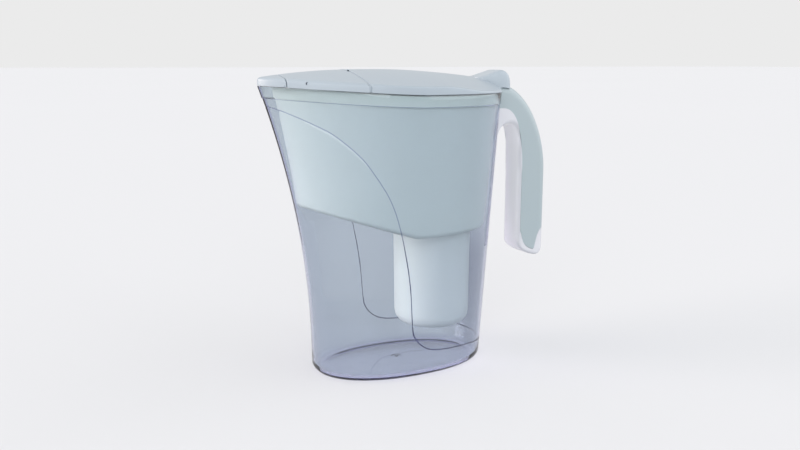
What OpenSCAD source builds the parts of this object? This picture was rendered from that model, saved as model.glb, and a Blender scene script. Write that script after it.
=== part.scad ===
// Water filter pitcher with a flip lid.
// The spout points along -X, the handle is on +X and the foot stands on z = 0.

/* [Jug] */
// Height of the jug's rim at its sides and back
rim_h = 239; // [225:1:250]
// How much higher the rim is at the spout tip
spout_rise = 7.6; // [5:0.2:9]
// Length of the foot ahead of the origin
foot_front = 78.2; // [74:0.1:82]
// How far the spout tip overhangs the foot
spout_reach = 43.4; // [38:0.1:47]
// Length of the foot behind the origin
foot_rear = 79.5; // [76:0.5:84]
// How far the back wall leans out up to the rim
rear_lean = 18; // [14:0.5:20]
// Half of the foot's width
foot_half_w = 50.5; // [48:0.5:56]
// How far each side wall leans out up to the rim
side_lean = 9; // [6:0.5:12]
// Thickness of the jug's wall
wall = 2.4; // [2:0.1:3]
// Thickness of the jug's floor
floor_t = 3; // [2.4:0.1:4]
// Radius of the foot's lower edge
foot_r = 6; // [4:0.5:8]
// Height of the rim band that takes the reservoir's collar
band_h = 10; // [8:0.5:13]
// How far the rim band stands out from the wall
band_out = 0.5; // [0.3:0.1:0.8]
// Wall thickness within the rim band
band_wall = 1.7; // [1.5:0.1:1.9]

/* [Reservoir] */
// Wall thickness of the reservoir
hopper_wall = 1.8; // [1.5:0.1:2.4]
// Gap between the reservoir's wall and the jug's, at the top
hopper_gap = 1; // [0.8:0.1:1.5]
// How much wider that gap gets down to the reservoir's floor
hopper_draft = 2.2; // [1:0.1:3]
// How much further the front wall stands back from the spout, at the top
pour_gap = 8.2; // [6:0.1:10]
// Height of the reservoir's floor round the filter cup
hopper_floor_z = 122; // [115:1:130]
// Thickness of the reservoir's floor
hopper_floor_t = 2; // [1.6:0.1:3]
// Slope of the reservoir's floor ahead of the cup
ramp_slope = 0.32; // [0.2:0.01:0.36]
// Radius of the reservoir's lower edge
hopper_r = 5; // [4:0.5:5.5]
// Thickness of the collar that hangs on the rim band's ledge
collar_t = 1.6; // [1.4:0.1:2]
// Clearance round the collar
collar_gap = 0.3; // [0.2:0.05:0.5]

/* [Filter cup] */
// Distance of the cup's axis behind the origin
cup_x = 35.5; // [33:0.5:38]
// Outer radius of the cup at its top
cup_r = 34.4; // [32:0.1:36]
// How much the cup narrows to its bottom
cup_taper = 0.8; // [0.4:0.1:1.5]
// Wall thickness of the cup
cup_wall = 1.8; // [1.5:0.1:2.2]
// Height of the cup's underside above the table
cup_low_z = 32; // [26:1:40]
// Radius of the cup's lower edge
cup_edge_r = 12; // [8:1:15]
// Width of the cup's flange on the reservoir's floor
cup_flange_w = 3.4; // [3:0.1:4]
// Thickness of the cup's flange
cup_flange_t = 2; // [1.6:0.1:3]

/* [Cartridge] */
// Clearance between the cartridge and the cup
cartridge_gap = 1.8; // [1.2:0.1:2.5]
// Wall thickness of the cartridge
cartridge_wall = 1.5; // [1.2:0.1:2]
// How much the cartridge narrows to its bottom
cartridge_taper = 1.2; // [0.8:0.1:2]
// Height of the cartridge's dome above its flange
cap_rise = 7.5; // [6:0.5:9]
// Thickness of the cap's flange
cap_flange_t = 2; // [1.6:0.1:2.5]
// Thickness of the seal ring
seal_t = 1.5; // [1:0.1:2]
// Share of the media taken by the lower bed
lower_bed_share = 0.45; // [0.3:0.05:0.6]
// Radius of the pull ring's rod
ring_rod_r = 1.5; // [1.2:0.1:2]
// Radius of the pull ring
ring_r = 12; // [10:0.5:14]

/* [Lid] */
// Height of the lid's crown above the rim
crown_rise = 20.4; // [18:0.2:23]
// Height of the lid's skirt
skirt_h = 6.3; // [5:0.1:7]
// Height of the skirt that is left beside the thumb rest
rear_skirt_h = 1.8; // [1.2:0.1:3]
// Thickness of the lid's top
lid_t = 2; // [1.6:0.1:2.4]
// Thickness of the lid's skirt
skirt_t = 2.2; // [2:0.1:3]
// Depth of the lip that drops inside the collar
lip_h = 4; // [3:0.5:6]
// Thickness of that lip
lip_t = 1.5; // [1.2:0.1:2]
// Gap between the lid and what it rests on
seat_gap = 0.3; // [0.2:0.05:0.4]
// Distance of the flip lid's hinge ahead of the origin
hinge_ahead = 47.5; // [44:0.5:52]
// Width of the groove along the hinge
groove_w = 2; // [1.8:0.1:3]
// Radius of the hinge barrel
barrel_r = 1.4; // [1.2:0.1:1.6]
// Radius of the hinge pin
pin_r = 0.7; // [0.5:0.05:0.9]
// Half-width of the hinge's middle knuckle
knuckle_half = 4; // [3:0.5:6]
// Length of each outer knuckle
knuckle_len = 3.5; // [3:0.5:6]

/* [Spout flap] */
// Distance of the flap's back edge ahead of the origin
flap_ahead = 104.4; // [101:0.2:107]
// Gap between the flap and the flip lid
flap_gap = 0.9; // [0.8:0.1:1.2]
// Distance of the flap's pivot ahead of the origin
pivot_ahead = 91.5; // [88:0.5:94]
// Height of the flap's pivot above the rim beside it
pivot_rise = 4.4; // [4:0.1:5]
// Radius of the pivot pin
pivot_r = 1.2; // [1:0.1:1.4]
// Thickness of the flap's arms
arm_t = 2.4; // [2:0.1:3]
// Half of the distance between the arms' inner faces
arm_half = 11; // [9:0.5:12]

/* [Thumb rest] */
// Half of the thumb rest's width
thumb_half_w = 14; // [11:0.5:16]
// Where the thumb rest begins, behind the origin
thumb_from = 76; // [72:0.5:80]
// Where the thumb rest ends, behind the origin
thumb_to = 113; // [108:0.5:116]
// Height of the thumb rest's top above the rim
thumb_rise = 19.4; // [17:0.2:22]

/* [Handle] */
// Half of the handle's width
handle_half_w = 13; // [11:0.5:15]
// Distance of the handle's outer face from the jug's back wall
handle_reach = 54; // [50:0.5:60]
// Depth of the grip behind its inner face
handle_depth = 31; // [27:0.5:33]
// Height of the handle's lower end
handle_low_z = 85; // [75:1:100]
// Height at which the arm has turned into the upright grip
elbow_z = 165; // [155:1:175]
// Depth of the arm below its top
arm_depth = 21.5; // [19:0.5:24]
// Radius of the handle's outer edges
outer_edge_r = 8; // [6:0.5:10]
// Radius of the handle's inner edges
inner_edge_r = 5; // [4:0.5:6]
// Wall thickness of the handle's cover
cover_t = 2.2; // [1.8:0.1:3]
// Thickness of the grip lining along the upright
lining_t = 3; // [2.4:0.1:3.4]
// Thickness of the frame inside the handle
frame_t = 5; // [4:0.5:7]

/* [Hidden] */
$fn = 64;

function lerp(a, b, t) = a + (b - a) * t;
function unit(v) = v / norm(v);
function smooth(t) = let (u = min(1, max(0, t))) u * u * (3 - 2 * u);
function power(base, exponent) = base <= 0 ? 0 : pow(base, exponent);

// ---- Plan sections of the jug ----
// A section is a superellipse at the foot; its front half sharpens into a prow towards the rim.
ROUND = 0.9;
PROW_X = 1;
PROW_Y = 1.5;
PROW_GROWTH = 1.2;
SPOUT_CURVE = 2;
RIM_CURVE = 1.3;
tip_z = rim_h + spout_rise;
tip_x = foot_front + spout_reach;

function front_len(z) = foot_front + spout_reach * power(z / tip_z, SPOUT_CURVE);
function rear_len(z) = foot_rear + rear_lean * z / rim_h;
function half_w(z) = foot_half_w + side_lean * z / rim_h;

// Point at angle a of a section at height z with the three half-lengths given
function section(a, z, front, rear, half) =
    let (
        c = cos(a), s = sin(a), t = min(1, power(z / rim_h, PROW_GROWTH)),
        ex = c >= 0 ? ROUND : lerp(ROUND, PROW_X, t), ey = c >= 0 ? ROUND : lerp(ROUND, PROW_Y, t)
    )
    [(c >= 0 ? rear : -front) * power(abs(c), ex), half * sign(s) * power(abs(s), ey)];

function wall_xy(a, z, out = 0) = section(a, z, front_len(z) + out, rear_len(z) + out, half_w(z) + out);
function wall_point(a, z, out = 0) = concat(wall_xy(a, z, out), z);
function rim_z(x) = rim_h + spout_rise * power(-x / tip_x, RIM_CURVE);
function rim_level(a, z = rim_h, turns = 4) =
    turns == 0 ? z : rim_level(a, rim_z(wall_xy(a, z)[0]), turns - 1);

STEPS = 64;
ANGLES = [for (i = [0:STEPS - 1]) 360 * i / STEPS];
RIM = [for (a = ANGLES) rim_level(a)];
LEDGE = [for (z = RIM) z - band_h];
EDGE_STEPS = 3;
BODY_ROWS = 11;
PAIR = [0:STEPS - 1];

// ---- Closed solids through rings of points ----
// Every ring has the same number of points, or one where the skin closes to a tip
module skin(rings, loop = false) {
    counts = [for (r = rings) len(r)];
    starts = [for (k = 0, s = 0; k < len(rings); s = s + counts[k], k = k + 1) s];
    n = max(counts);
    function at(k, i) = starts[k] + (counts[k] == 1 ? 0 : i % n);
    faces = [
        for (k = [0:len(rings) - (loop ? 1 : 2)], i = [0:n - 1])
            let (m = (k + 1) % len(rings), a = at(k, i), b = at(m, i), c = at(m, i + 1), d = at(k, i + 1))
            each concat(b == c ? [] : [[a, b, c]], a == d ? [] : [[a, c, d]])
    ];
    polyhedron([for (r = rings) each r], faces);
}

function sweep_sides(n, m) = [
    for (k = [0:m - 2], i = [0:n - 1])
        let (a = k * n + i, b = a + n, d = k * n + (i + 1) % n, c = d + n)
        each [[a, b, c], [a, c, d]]
];

// A swept channel, whose rings run out along the outside and back along the inside
module channel(rings) {
    n = len(rings[0]);
    last = (len(rings) - 1) * n;
    cap = [for (j = [0:n / 2 - 2]) each [[j, j + 1, n - 2 - j], [j, n - 2 - j, n - 1 - j]]];
    faces = concat(cap, sweep_sides(n, len(rings)), [for (f = cap) [last + f[2], last + f[1], last + f[0]]]);
    polyhedron([for (r = rings) each r], faces);
}

// A swept rod, whose rings hold rows of points down the left and back up the right, with points
// between them across the front and the back, so that each end is a grid that can follow a wall
COLUMNS = 4;
function between(p, q) = [for (c = [1:COLUMNS - 1]) lerp(p, q, c / COLUMNS)];
function rod_ring(side) =
    let (left = [for (p = side) [p[0], -p[1]]], right = reversed(side))
    concat(left, between(left[len(side) - 1], right[0]), right, between(right[len(side) - 1], left[0]));
function rod_rows(ring) = len(ring) / 2 - COLUMNS + 1;
// Number on the ring of the point that ends row j on the right
function row_end(j, rows) = 2 * rows + COLUMNS - 2 - j;
function rod_inner(ring) =
    let (rows = rod_rows(ring))
    [for (j = [1:rows - 2]) each between(ring[j], ring[row_end(j, rows)])];

module rod(rings, seat) {
    n = len(rings[0]);
    rows = rod_rows(rings[0]);
    last = (len(rings) - 1) * n;
    inner = last + n;
    function at(j, c, ring, own) =
        c == 0 ? ring + j
        : c == COLUMNS ? ring + row_end(j, rows)
        : j == rows - 1 ? ring + j + c
        : j == 0 ? ring + n - c
        : own + (COLUMNS - 1) * (j - 1) + c - 1;
    function cap(ring, own) = [
        for (j = [0:rows - 2], c = [0:COLUMNS - 1])
            let (p = at(j, c, ring, own), q = at(j + 1, c + 1, ring, own))
            each [[p, at(j + 1, c, ring, own), q], [p, q, at(j, c + 1, ring, own)]]
    ];
    faces = concat(
        cap(0, inner), sweep_sides(n, len(rings)),
        [for (f = cap(last, inner + len(seat))) [f[2], f[1], f[0]]]
    );
    polyhedron(concat([for (r = rings) each r], seat, rod_inner(rings[len(rings) - 1])), faces);
}

// ---- Jug ----
function foot_edge(r, lift, inset) = [
    for (k = [0:EDGE_STEPS])
        let (q = 90 * k / EDGE_STEPS)
        [for (a = ANGLES) wall_point(a, lift + r * (1 - cos(q)), -inset - r * (1 - sin(q)))]
];
function jug_rows(low, out) = [
    for (k = [1:BODY_ROWS]) [for (i = PAIR) wall_point(ANGLES[i], lerp(low, LEDGE[i], k / BODY_ROWS), out)]
];
function reversed(list) = [for (i = [len(list) - 1:-1:0]) list[i]];
inner_foot_r = foot_r - wall / 2;

module jug_shell() {
    outside = concat(
        [[[0, 0, 0]]], foot_edge(foot_r, 0, 0), jug_rows(foot_r, 0),
        [[for (i = PAIR) wall_point(ANGLES[i], LEDGE[i] + band_out, band_out)]],
        [[for (i = PAIR) wall_point(ANGLES[i], RIM[i], band_out)]]
    );
    inside = concat(
        [[[0, 0, floor_t]]], foot_edge(inner_foot_r, floor_t, wall), jug_rows(floor_t + inner_foot_r, -wall),
        [[for (i = PAIR) wall_point(ANGLES[i], LEDGE[i], band_out - band_wall)]],
        [[for (i = PAIR) wall_point(ANGLES[i], RIM[i], band_out - band_wall)]]
    );
    color("#9fa9cc") skin(concat(outside, reversed(inside)));
}

// ---- Reservoir ----
cup_hole_gap = 0.35;
hole_r = cup_r + cup_hole_gap;
cup_flange_r = hole_r + cup_flange_w;
cup_seat_r = cup_flange_r + collar_gap;
ramp_start_x = cup_x - cup_seat_r;
function floor_at(x) = hopper_floor_z + ramp_slope * max(0, ramp_start_x - x);
prow_floor_z = floor_at(-front_len(hopper_floor_z + ramp_slope * foot_front) + wall + hopper_gap);
POUR_CURVE = 1.1;
function hopper_front(z) =
    front_len(z) - wall - hopper_gap
    - pour_gap * power((z - prow_floor_z) / (tip_z - prow_floor_z), POUR_CURVE);
function hopper_draft_at(z) = hopper_gap + hopper_draft * (rim_h - z) / (rim_h - hopper_floor_z);
function hopper_point(a, z, inset) =
    concat(section(a, z, hopper_front(z) - inset, rear_len(z) - wall - hopper_draft_at(z) - inset,
        half_w(z) - wall - hopper_draft_at(z) - inset), z);
collar_inset = band_wall - band_out + collar_gap;
function collar_point(a, z, inset) =
    concat(section(a, z, hopper_front(z) + wall - collar_inset - inset, rear_len(z) - collar_inset - inset,
        half_w(z) - collar_inset - inset), z);
FLOOR = [for (a = ANGLES) let (z = hopper_floor_z + hopper_r) floor_at(hopper_point(a, z, 0)[0])];
HOPPER_ROWS = 5;
FLOOR_ROWS = 3;
collar_top_drop = 0.8;

function hopper_rows(inset, low, high) = [
    for (k = [0:HOPPER_ROWS]) [
        for (i = PAIR) hopper_point(ANGLES[i], lerp(FLOOR[i] + low, LEDGE[i] + high, k / HOPPER_ROWS), inset)
    ]
];
// From the floor's edge up to the wall, through the rounded corner
function hopper_edge(r, lift, inset) = [
    for (k = [0:EDGE_STEPS - 1])
        let (q = 90 * k / EDGE_STEPS)
        [for (i = PAIR) hopper_point(ANGLES[i], FLOOR[i] + lift + r * (1 - cos(q)), inset + r * (1 - sin(q)))]
];
// From the cup's hole across its flat seat and out to the floor's edge
function cup_circle(r, lift) = [for (a = ANGLES) [cup_x + r * cos(a), r * sin(a), hopper_floor_z + lift]];
function hopper_floor(edge, lift) = concat([cup_circle(hole_r, lift)], [
    for (k = [0:FLOOR_ROWS - 1]) [
        for (i = PAIR)
            let (p = lerp(cup_circle(cup_seat_r, lift)[i], edge[i], k / FLOOR_ROWS))
            [p[0], p[1], floor_at(p[0]) + lift]
    ]
]);

module reservoir() {
    inner_r = hopper_r - hopper_wall;
    edge_out = hopper_edge(hopper_r, -hopper_floor_t, 0);
    edge_in = hopper_edge(inner_r, 0, hopper_wall);
    high = seat_gap + collar_t;
    outside = concat(
        hopper_floor(edge_out[0], -hopper_floor_t), edge_out,
        hopper_rows(0, hopper_r - hopper_floor_t, seat_gap),
        [[for (i = PAIR) collar_point(ANGLES[i], LEDGE[i] + seat_gap, 0)]],
        [[for (i = PAIR) collar_point(ANGLES[i], RIM[i] - collar_top_drop, 0)]]
    );
    inside = concat(
        hopper_floor(edge_in[0], 0), edge_in, hopper_rows(hopper_wall, inner_r, high),
        [[for (i = PAIR) collar_point(ANGLES[i], LEDGE[i] + high, collar_t)]],
        [[for (i = PAIR) collar_point(ANGLES[i], RIM[i] - collar_top_drop, collar_t)]]
    );
    color("#c3d0dd") skin(concat(outside, reversed(inside)), loop = true);
}

// ---- Filter cup and cartridge, all turned about the cup's axis ----
cup_top_z = hopper_floor_z + cup_flange_t;
cup_in_low_z = cup_low_z + cup_wall;
slot_w = 3;
slots = 8;
function arc_points(cx, cy, r, from, to, n = 6) = [
    for (k = [0:n]) let (q = lerp(from, to, k / n)) [cx + r * cos(q), cy + r * sin(q)]
];

module slot_ring(from, to, low, high, width, copies) {
    for (k = [0:copies - 1])
        rotate(360 * k / copies) translate([from, -width / 2, low]) cube([to - from, width, high - low]);
}

module filter_cup() {
    low_r = cup_r - cup_taper;
    inner_edge = cup_edge_r - cup_wall;
    outer = concat(
        [[0, cup_low_z]], arc_points(low_r - cup_edge_r, cup_low_z + cup_edge_r, cup_edge_r, -90, 0),
        [[cup_r, hopper_floor_z], [cup_flange_r, hopper_floor_z], [cup_flange_r, cup_top_z]]
    );
    inner = concat(
        [[cup_r - cup_wall, cup_top_z]],
        arc_points(low_r - cup_edge_r, cup_low_z + cup_edge_r, inner_edge, 0, -90), [[0, cup_in_low_z]]
    );
    color("#d3dde6") translate([cup_x, 0, 0]) difference() {
        rotate_extrude() polygon(concat(outer, inner));
        slot_ring(slot_w * 2, low_r - cup_edge_r, cup_low_z - cup_wall, cup_in_low_z + cup_wall, slot_w, slots);
    }
}

body_r = cup_r - cup_wall - cartridge_gap;
body_low_r = body_r - cartridge_taper;
body_low_z = cup_in_low_z + cartridge_gap;
seal_z = cup_top_z + seat_gap;
body_top_z = seal_z + seal_t;
cap_top_z = body_top_z + cap_flange_t + cap_rise;
bed_gap = 0.2;
media_r = body_low_r - cartridge_wall - bed_gap;
screen_t = 0.8;
media_low_z = body_low_z + cartridge_wall + screen_t;
cap_skirt_h = 3;
media_top_z = body_top_z - 2 * screen_t - cap_skirt_h;
bed_split_z = lerp(media_low_z, media_top_z, lower_bed_share);
body_edge_r = 7;
seal_inset = 1.4;
shoulder_inset = 1;
ring_z = cap_top_z + ring_rod_r + seat_gap;
ear_t = 3.5;
ear_wall = 1.8;
ear_half_w = ring_rod_r + ear_wall;
ring_fit = 0.08;
trunnion_len = ear_t;

module cartridge_shell() {
    outer = concat(
        [[0, body_low_z]], arc_points(body_low_r - body_edge_r, body_low_z + body_edge_r, body_edge_r, -90, 0),
        [[body_r, body_top_z]]
    );
    inner = concat(
        [[body_r - cartridge_wall, body_top_z]],
        arc_points(body_low_r - body_edge_r, body_low_z + body_edge_r, body_edge_r - cartridge_wall, 0, -90),
        [[0, body_low_z + cartridge_wall]]
    );
    color("#f1f3f5") translate([cup_x, 0, 0]) difference() {
        rotate_extrude() polygon(concat(outer, inner));
        slot_ring(slot_w, body_low_r - body_edge_r, body_low_z - cartridge_wall,
            body_low_z + 2 * cartridge_wall, slot_w / 2, slots);
    }
}

module cartridge_cap() {
    flange_r = cup_flange_r - shoulder_inset;
    top_r = ring_r + ring_rod_r + seat_gap + ear_t;
    shoulder_r = body_r - shoulder_inset;
    flange_top = body_top_z + cap_flange_t;
    under = cap_top_z - cap_flange_t;
    skirt_r = body_r - cartridge_wall - bed_gap;
    inner_r = skirt_r - cartridge_wall;
    ear_y = ring_r + ring_rod_r + seat_gap + ear_t / 2;
    skirt_z = body_top_z - cap_skirt_h;
    color("#5f86b5") translate([cup_x, 0, 0]) difference() {
        union() {
            rotate_extrude() polygon([
                [0, under], [top_r - shoulder_inset, under], [inner_r, body_top_z], [inner_r, skirt_z],
                [skirt_r, skirt_z], [skirt_r, body_top_z], [flange_r, body_top_z], [flange_r, flange_top],
                [shoulder_r, flange_top], [top_r, cap_top_z], [0, cap_top_z]
            ]);
            for (side = [-1, 1])
                translate([0, side * ear_y, 0]) {
                    translate([-ear_half_w, -ear_t / 2, under]) cube([2 * ear_half_w, ear_t, ring_z - under]);
                    translate([0, 0, ring_z]) rotate([90, 0, 0])
                        cylinder(r = ear_half_w, h = ear_t, center = true);
                }
        }
        translate([0, 0, ring_z]) rotate([90, 0, 0])
            cylinder(r = ring_rod_r + ring_fit, h = 3 * ear_y, center = true);
        rotate(180 / slots)
            slot_ring(top_r + shoulder_inset, inner_r - cartridge_wall, skirt_z, cap_top_z,
                slot_w / 2, 2 * slots);
    }
}

module cartridge_seal() {
    color("#8f979f") translate([cup_x, 0, seal_z]) difference() {
        cylinder(r = cup_flange_r - seal_inset, h = seal_t);
        translate([0, 0, -seal_t]) cylinder(r = body_r + seat_gap, h = 3 * seal_t);
    }
}

module media_disc(z, h, shade, r = media_r) {
    color(shade) translate([cup_x, 0, z]) cylinder(r = r, h = h);
}

module inlet_screen() {
    media_disc(media_top_z, screen_t, "#e8eaec");
}

module divider_screen() {
    media_disc(bed_split_z, screen_t, "#e8eaec");
}

module outlet_screen() {
    media_disc(media_low_z - screen_t, screen_t, "#e8eaec", body_low_r - body_edge_r - bed_gap);
}

module resin_bed() {
    media_disc(bed_split_z + screen_t, media_top_z - bed_split_z - screen_t, "#c9a15e");
}

module carbon_bed() {
    edge_r = body_edge_r - cartridge_wall - bed_gap;
    edge_z = body_low_z + body_edge_r;
    color("#2c2d2f") translate([cup_x, 0, 0]) rotate_extrude() polygon(concat(
        [[0, media_low_z]],
        arc_points(body_low_r - body_edge_r, edge_z, edge_r, -asin((edge_z - media_low_z) / edge_r), 0),
        [[media_r, bed_split_z], [0, bed_split_z]]
    ));
}

// The bail lies folded forward on the cap
module pull_ring() {
    color("#f1f3f5") translate([cup_x, 0, ring_z]) {
        rotate(90) rotate_extrude(angle = 180) translate([ring_r, 0]) circle(r = ring_rod_r);
        for (side = [-1, 1])
            translate([0, side * (ring_r + (ring_rod_r + trunnion_len) / 2), 0]) rotate([90, 0, 0])
                cylinder(r = ring_rod_r, h = ring_rod_r + trunnion_len, center = true);
    }
}

// ---- Lid: one dome over the rim, split across into lid, flip lid and spout flap ----
DOME_POWER = 1.35;
crown_front = -30;
crown_rear = -15;
crown_z = rim_h + crown_rise;
rear_rim_x = rear_len(rim_h) + band_out;
edge_half_w = half_w(rim_h) + band_out;
skirt_fade_from = 14;
skirt_fade_to = 66;

function lid_edge(a) = wall_xy(a, rim_level(a), band_out);
// Angle at which the lid's edge reaches a place ahead of the origin
function edge_angle(x, low = 90, high = 180, turns = 16) =
    turns == 0 ? (low + high) / 2
    : let (mid = (low + high) / 2)
        lid_edge(mid)[0] > x ? edge_angle(x, mid, high, turns - 1) : edge_angle(x, low, mid, turns - 1);
function edge_half(x) = x < 0 ? lid_edge(edge_angle(x))[1]
    : edge_half_w * power(sin(acos(min(1, power(x / rear_rim_x, 1 / ROUND)))), ROUND);
function skirt_at(x) =
    lerp(skirt_h, rear_skirt_h, smooth((x - skirt_fade_from) / (skirt_fade_to - skirt_fade_from)));
function skirt_top(x) = rim_z(x) + seat_gap + skirt_at(x);
nose_drop = crown_z - skirt_top(-tip_x);
rear_drop = 6.6;
rear_run = 90;
NOSE_CURVE = 2.2;
REAR_CURVE = 1.6;
REAR_ROUND = 14;
function crest(x) =
    crown_z - (x < crown_front ? nose_drop * power((crown_front - x) / (tip_x + crown_front), NOSE_CURVE)
        : rear_drop * power((x - crown_rear) / rear_run, REAR_CURVE));
function dome(x, y) =
    let (
        top = skirt_top(x), rise = max(0, crest(x) - top) * sqrt(1 - power(min(1, x / rear_rim_x), REAR_ROUND)),
        across = min(1, abs(y) / max(1, edge_half(x)))
    )
    top + rise * (1 - pow(across, DOME_POWER));

// Outline points are [x, y, kind], with kind 0 on the outer edge, 1 on the back cut and 2 on the front cut
SIDE_STEPS = 12;
CUT_STEPS = 4;
function along_edge(from, to, n = SIDE_STEPS) = [
    for (k = [0:n]) let (p = lid_edge(lerp(from, to, k / n))) [p[0], p[1], 0]
];
// A cut across at x, from y = half to -half; the notch clears the hinge's knuckles
function across_cut(x, half, kind, notches = []) = concat(
    [for (k = [1:CUT_STEPS]) let (y = lerp(half, knuckle_end, k / (CUT_STEPS + 1))) [x, y, kind]],
    notches,
    [for (k = [CUT_STEPS:-1:1]) let (y = lerp(half, knuckle_end, k / (CUT_STEPS + 1))) [x, -y, kind]]
);
function plain_cut(x, half, kind) = [
    for (k = [1:CUT_STEPS]) [x, half * (1 - 2 * k / (CUT_STEPS + 1)), kind]
];
function inset(points, d) = [
    for (i = [0:len(points) - 1])
        let (
            n = len(points), p = points[i],
            before = p - points[(i + n - 1) % n], after = points[(i + 1) % n] - p,
            n1 = unit([-before[1], before[0]]), n2 = unit([-after[1], after[0]])
        )
        [p[0], p[1]] + d * (n1 + n2) / (1 + n1 * n2)
];
knuckle_gap = 0.3;
knuckle_end = knuckle_half + knuckle_gap + knuckle_len;
hinge_x = -hinge_ahead;
hinge_drop = 1.2;
hinge_z = crest(hinge_x) - hinge_drop;
notch_gap = 0.45;
notch_x = barrel_r + notch_gap;
pivot_x = -pivot_ahead;
pivot_z = rim_z(pivot_x) + pivot_rise;
back_flange_h = 7;
front_flange_h = 2.4;

// Rings from under the dome's middle out, down inside the skirt, up outside it and back over the dome.
// A lip starts lip_in from the edge and hangs below the seam behind the origin, apart from the skirt.
bevel_w = 1;
least_t = 0.2;
bevel_h = 0.6;
UNDER_STEPS = [0.3, 0.6, 0.8];
OVER_STEPS = [0.85, 0.65, 0.45, 0.2];
function dome_rings(outline, mid, lip_in = 0) =
    let (
        n = len(outline),
        under = function(p) dome(p[0], p[1]) - lid_t,
        over = function(p) dome(p[0], p[1]),
        low = [
            for (p = outline) let (seam = rim_z(p[0]) + seat_gap)
                p[2] == 0 ? seam : max(seam, over(p) - (p[2] == 1 ? back_flange_h : front_flange_h))
        ],
        shrink = function(t, height) [
            for (p = outline) let (q = [lerp(mid, p[0], t), p[1] * t]) concat(q, height(q))
        ],
        shelter = function(ring) [for (i = [0:n - 1]) concat(ring[i], max(under(ring[i]), low[i] + least_t))],
        hang = function(ring, drop) [
            for (i = [0:n - 1]) concat(ring[i], low[i] - (outline[i][2] == 0 && outline[i][0] > 0 ? drop : 0))
        ],
        skirt_line = inset(outline, skirt_t),
        lip_outer = inset(outline, lip_in),
        lip_inner = inset(outline, lip_in + lip_t),
        bevel = inset(outline, bevel_w)
    )
    concat(
        [[[mid, 0, under([mid, 0])]]],
        [for (t = UNDER_STEPS) shrink(t, under)],
        lip_in == 0 ? []
            : [shelter(lip_inner), hang(lip_inner, lip_h), hang(lip_outer, lip_h), shelter(lip_outer)],
        [shelter(skirt_line), hang(skirt_line, 0), hang([for (p = outline) [p[0], p[1]]], 0)],
        [[for (p = outline) [p[0], p[1], over(p) - bevel_h]]],
        [[for (q = bevel) concat(q, over(q))]],
        [for (t = OVER_STEPS) shrink(t, over)],
        [[[mid, 0, over([mid, 0])]]]
    );

groove_shift = 0.1;
back_cut_x = hinge_x + groove_w / 2 + groove_shift;
flip_cut_x = hinge_x - groove_w / 2 + groove_shift;
knuckle_root = 2;
pin_fit = 0.04;

module hinge_bore(clear) {
    translate([hinge_x, 0, hinge_z]) rotate([90, 0, 0])
        cylinder(r = pin_r + clear, h = 3 * knuckle_end, center = true);
}

// A knuckle with the web that roots it in the edge behind it
module knuckle(from, to, root_x) {
    x0 = min(hinge_x, root_x);
    translate([hinge_x, from, hinge_z]) rotate([-90, 0, 0]) cylinder(r = barrel_r, h = to - from);
    translate([x0, from, hinge_z - barrel_r]) cube([abs(root_x - hinge_x), to - from, barrel_r]);
}

module lid_shell() {
    turn = edge_angle(back_cut_x);
    half = lid_edge(turn)[1];
    notch_half = knuckle_half + knuckle_gap;
    notch = hinge_x + notch_x;
    outline = concat(
        along_edge(-turn, turn, 3 * SIDE_STEPS),
        across_cut(back_cut_x, half, 1, [
            [back_cut_x, notch_half, 1], [notch, notch_half, 1], [notch, notch_half / 3, 1],
            [notch, -notch_half / 3, 1], [notch, -notch_half, 1], [back_cut_x, -notch_half, 1]
        ])
    );
    collar_in = collar_inset + collar_t + band_out + 2 * collar_gap;
    color("#c3cdd6") difference() {
        union() {
            skin(dome_rings(outline, rear_rim_x / 5, collar_in));
            for (side = [0, 1])
                mirror([0, side, 0]) knuckle(notch_half, knuckle_end, back_cut_x + knuckle_root);
        }
        hinge_bore(pin_fit);
    }
}

module pivot_bore() {
    translate([pivot_x, 0, pivot_z]) rotate([90, 0, 0])
        cylinder(r = pivot_r + pin_fit, h = 3 * edge_half(pivot_x), center = true);
}

module flip_lid() {
    back_turn = edge_angle(flip_cut_x);
    front_turn = edge_angle(-flap_ahead);
    back_half = lid_edge(back_turn)[1];
    front_half = lid_edge(front_turn)[1];
    notch = hinge_x - notch_x;
    outline = concat(
        along_edge(back_turn, front_turn),
        plain_cut(-flap_ahead, front_half, 2),
        along_edge(360 - front_turn, 360 - back_turn),
        [for (p = across_cut(flip_cut_x, back_half, 1, [
            [flip_cut_x, knuckle_end + knuckle_gap, 1], [notch, knuckle_end + knuckle_gap, 1],
            [notch, knuckle_half, 1], [flip_cut_x, knuckle_half, 1],
            [flip_cut_x, -knuckle_half, 1], [notch, -knuckle_half, 1],
            [notch, -knuckle_end - knuckle_gap, 1], [flip_cut_x, -knuckle_end - knuckle_gap, 1]
        ])) [p[0], -p[1], p[2]]]
    );
    color("#c3cdd6") difference() {
        union() {
            skin(dome_rings(outline, (hinge_x - flap_ahead) / 2));
            knuckle(-knuckle_half, knuckle_half, flip_cut_x - knuckle_root);
        }
        hinge_bore(pin_fit);
        pivot_bore();
    }
}

arm_inset = 9;
arm_from_x = arm_inset - tip_x;
arm_low_z = rim_z(arm_from_x) + 2 * seat_gap;
arm_h = 2;
FLAP_MID = 0.4;
eye_wall = 1.5;
eye_r = pivot_r + eye_wall;
nub_r = 0.8;
nub_inset = 1.5;

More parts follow.
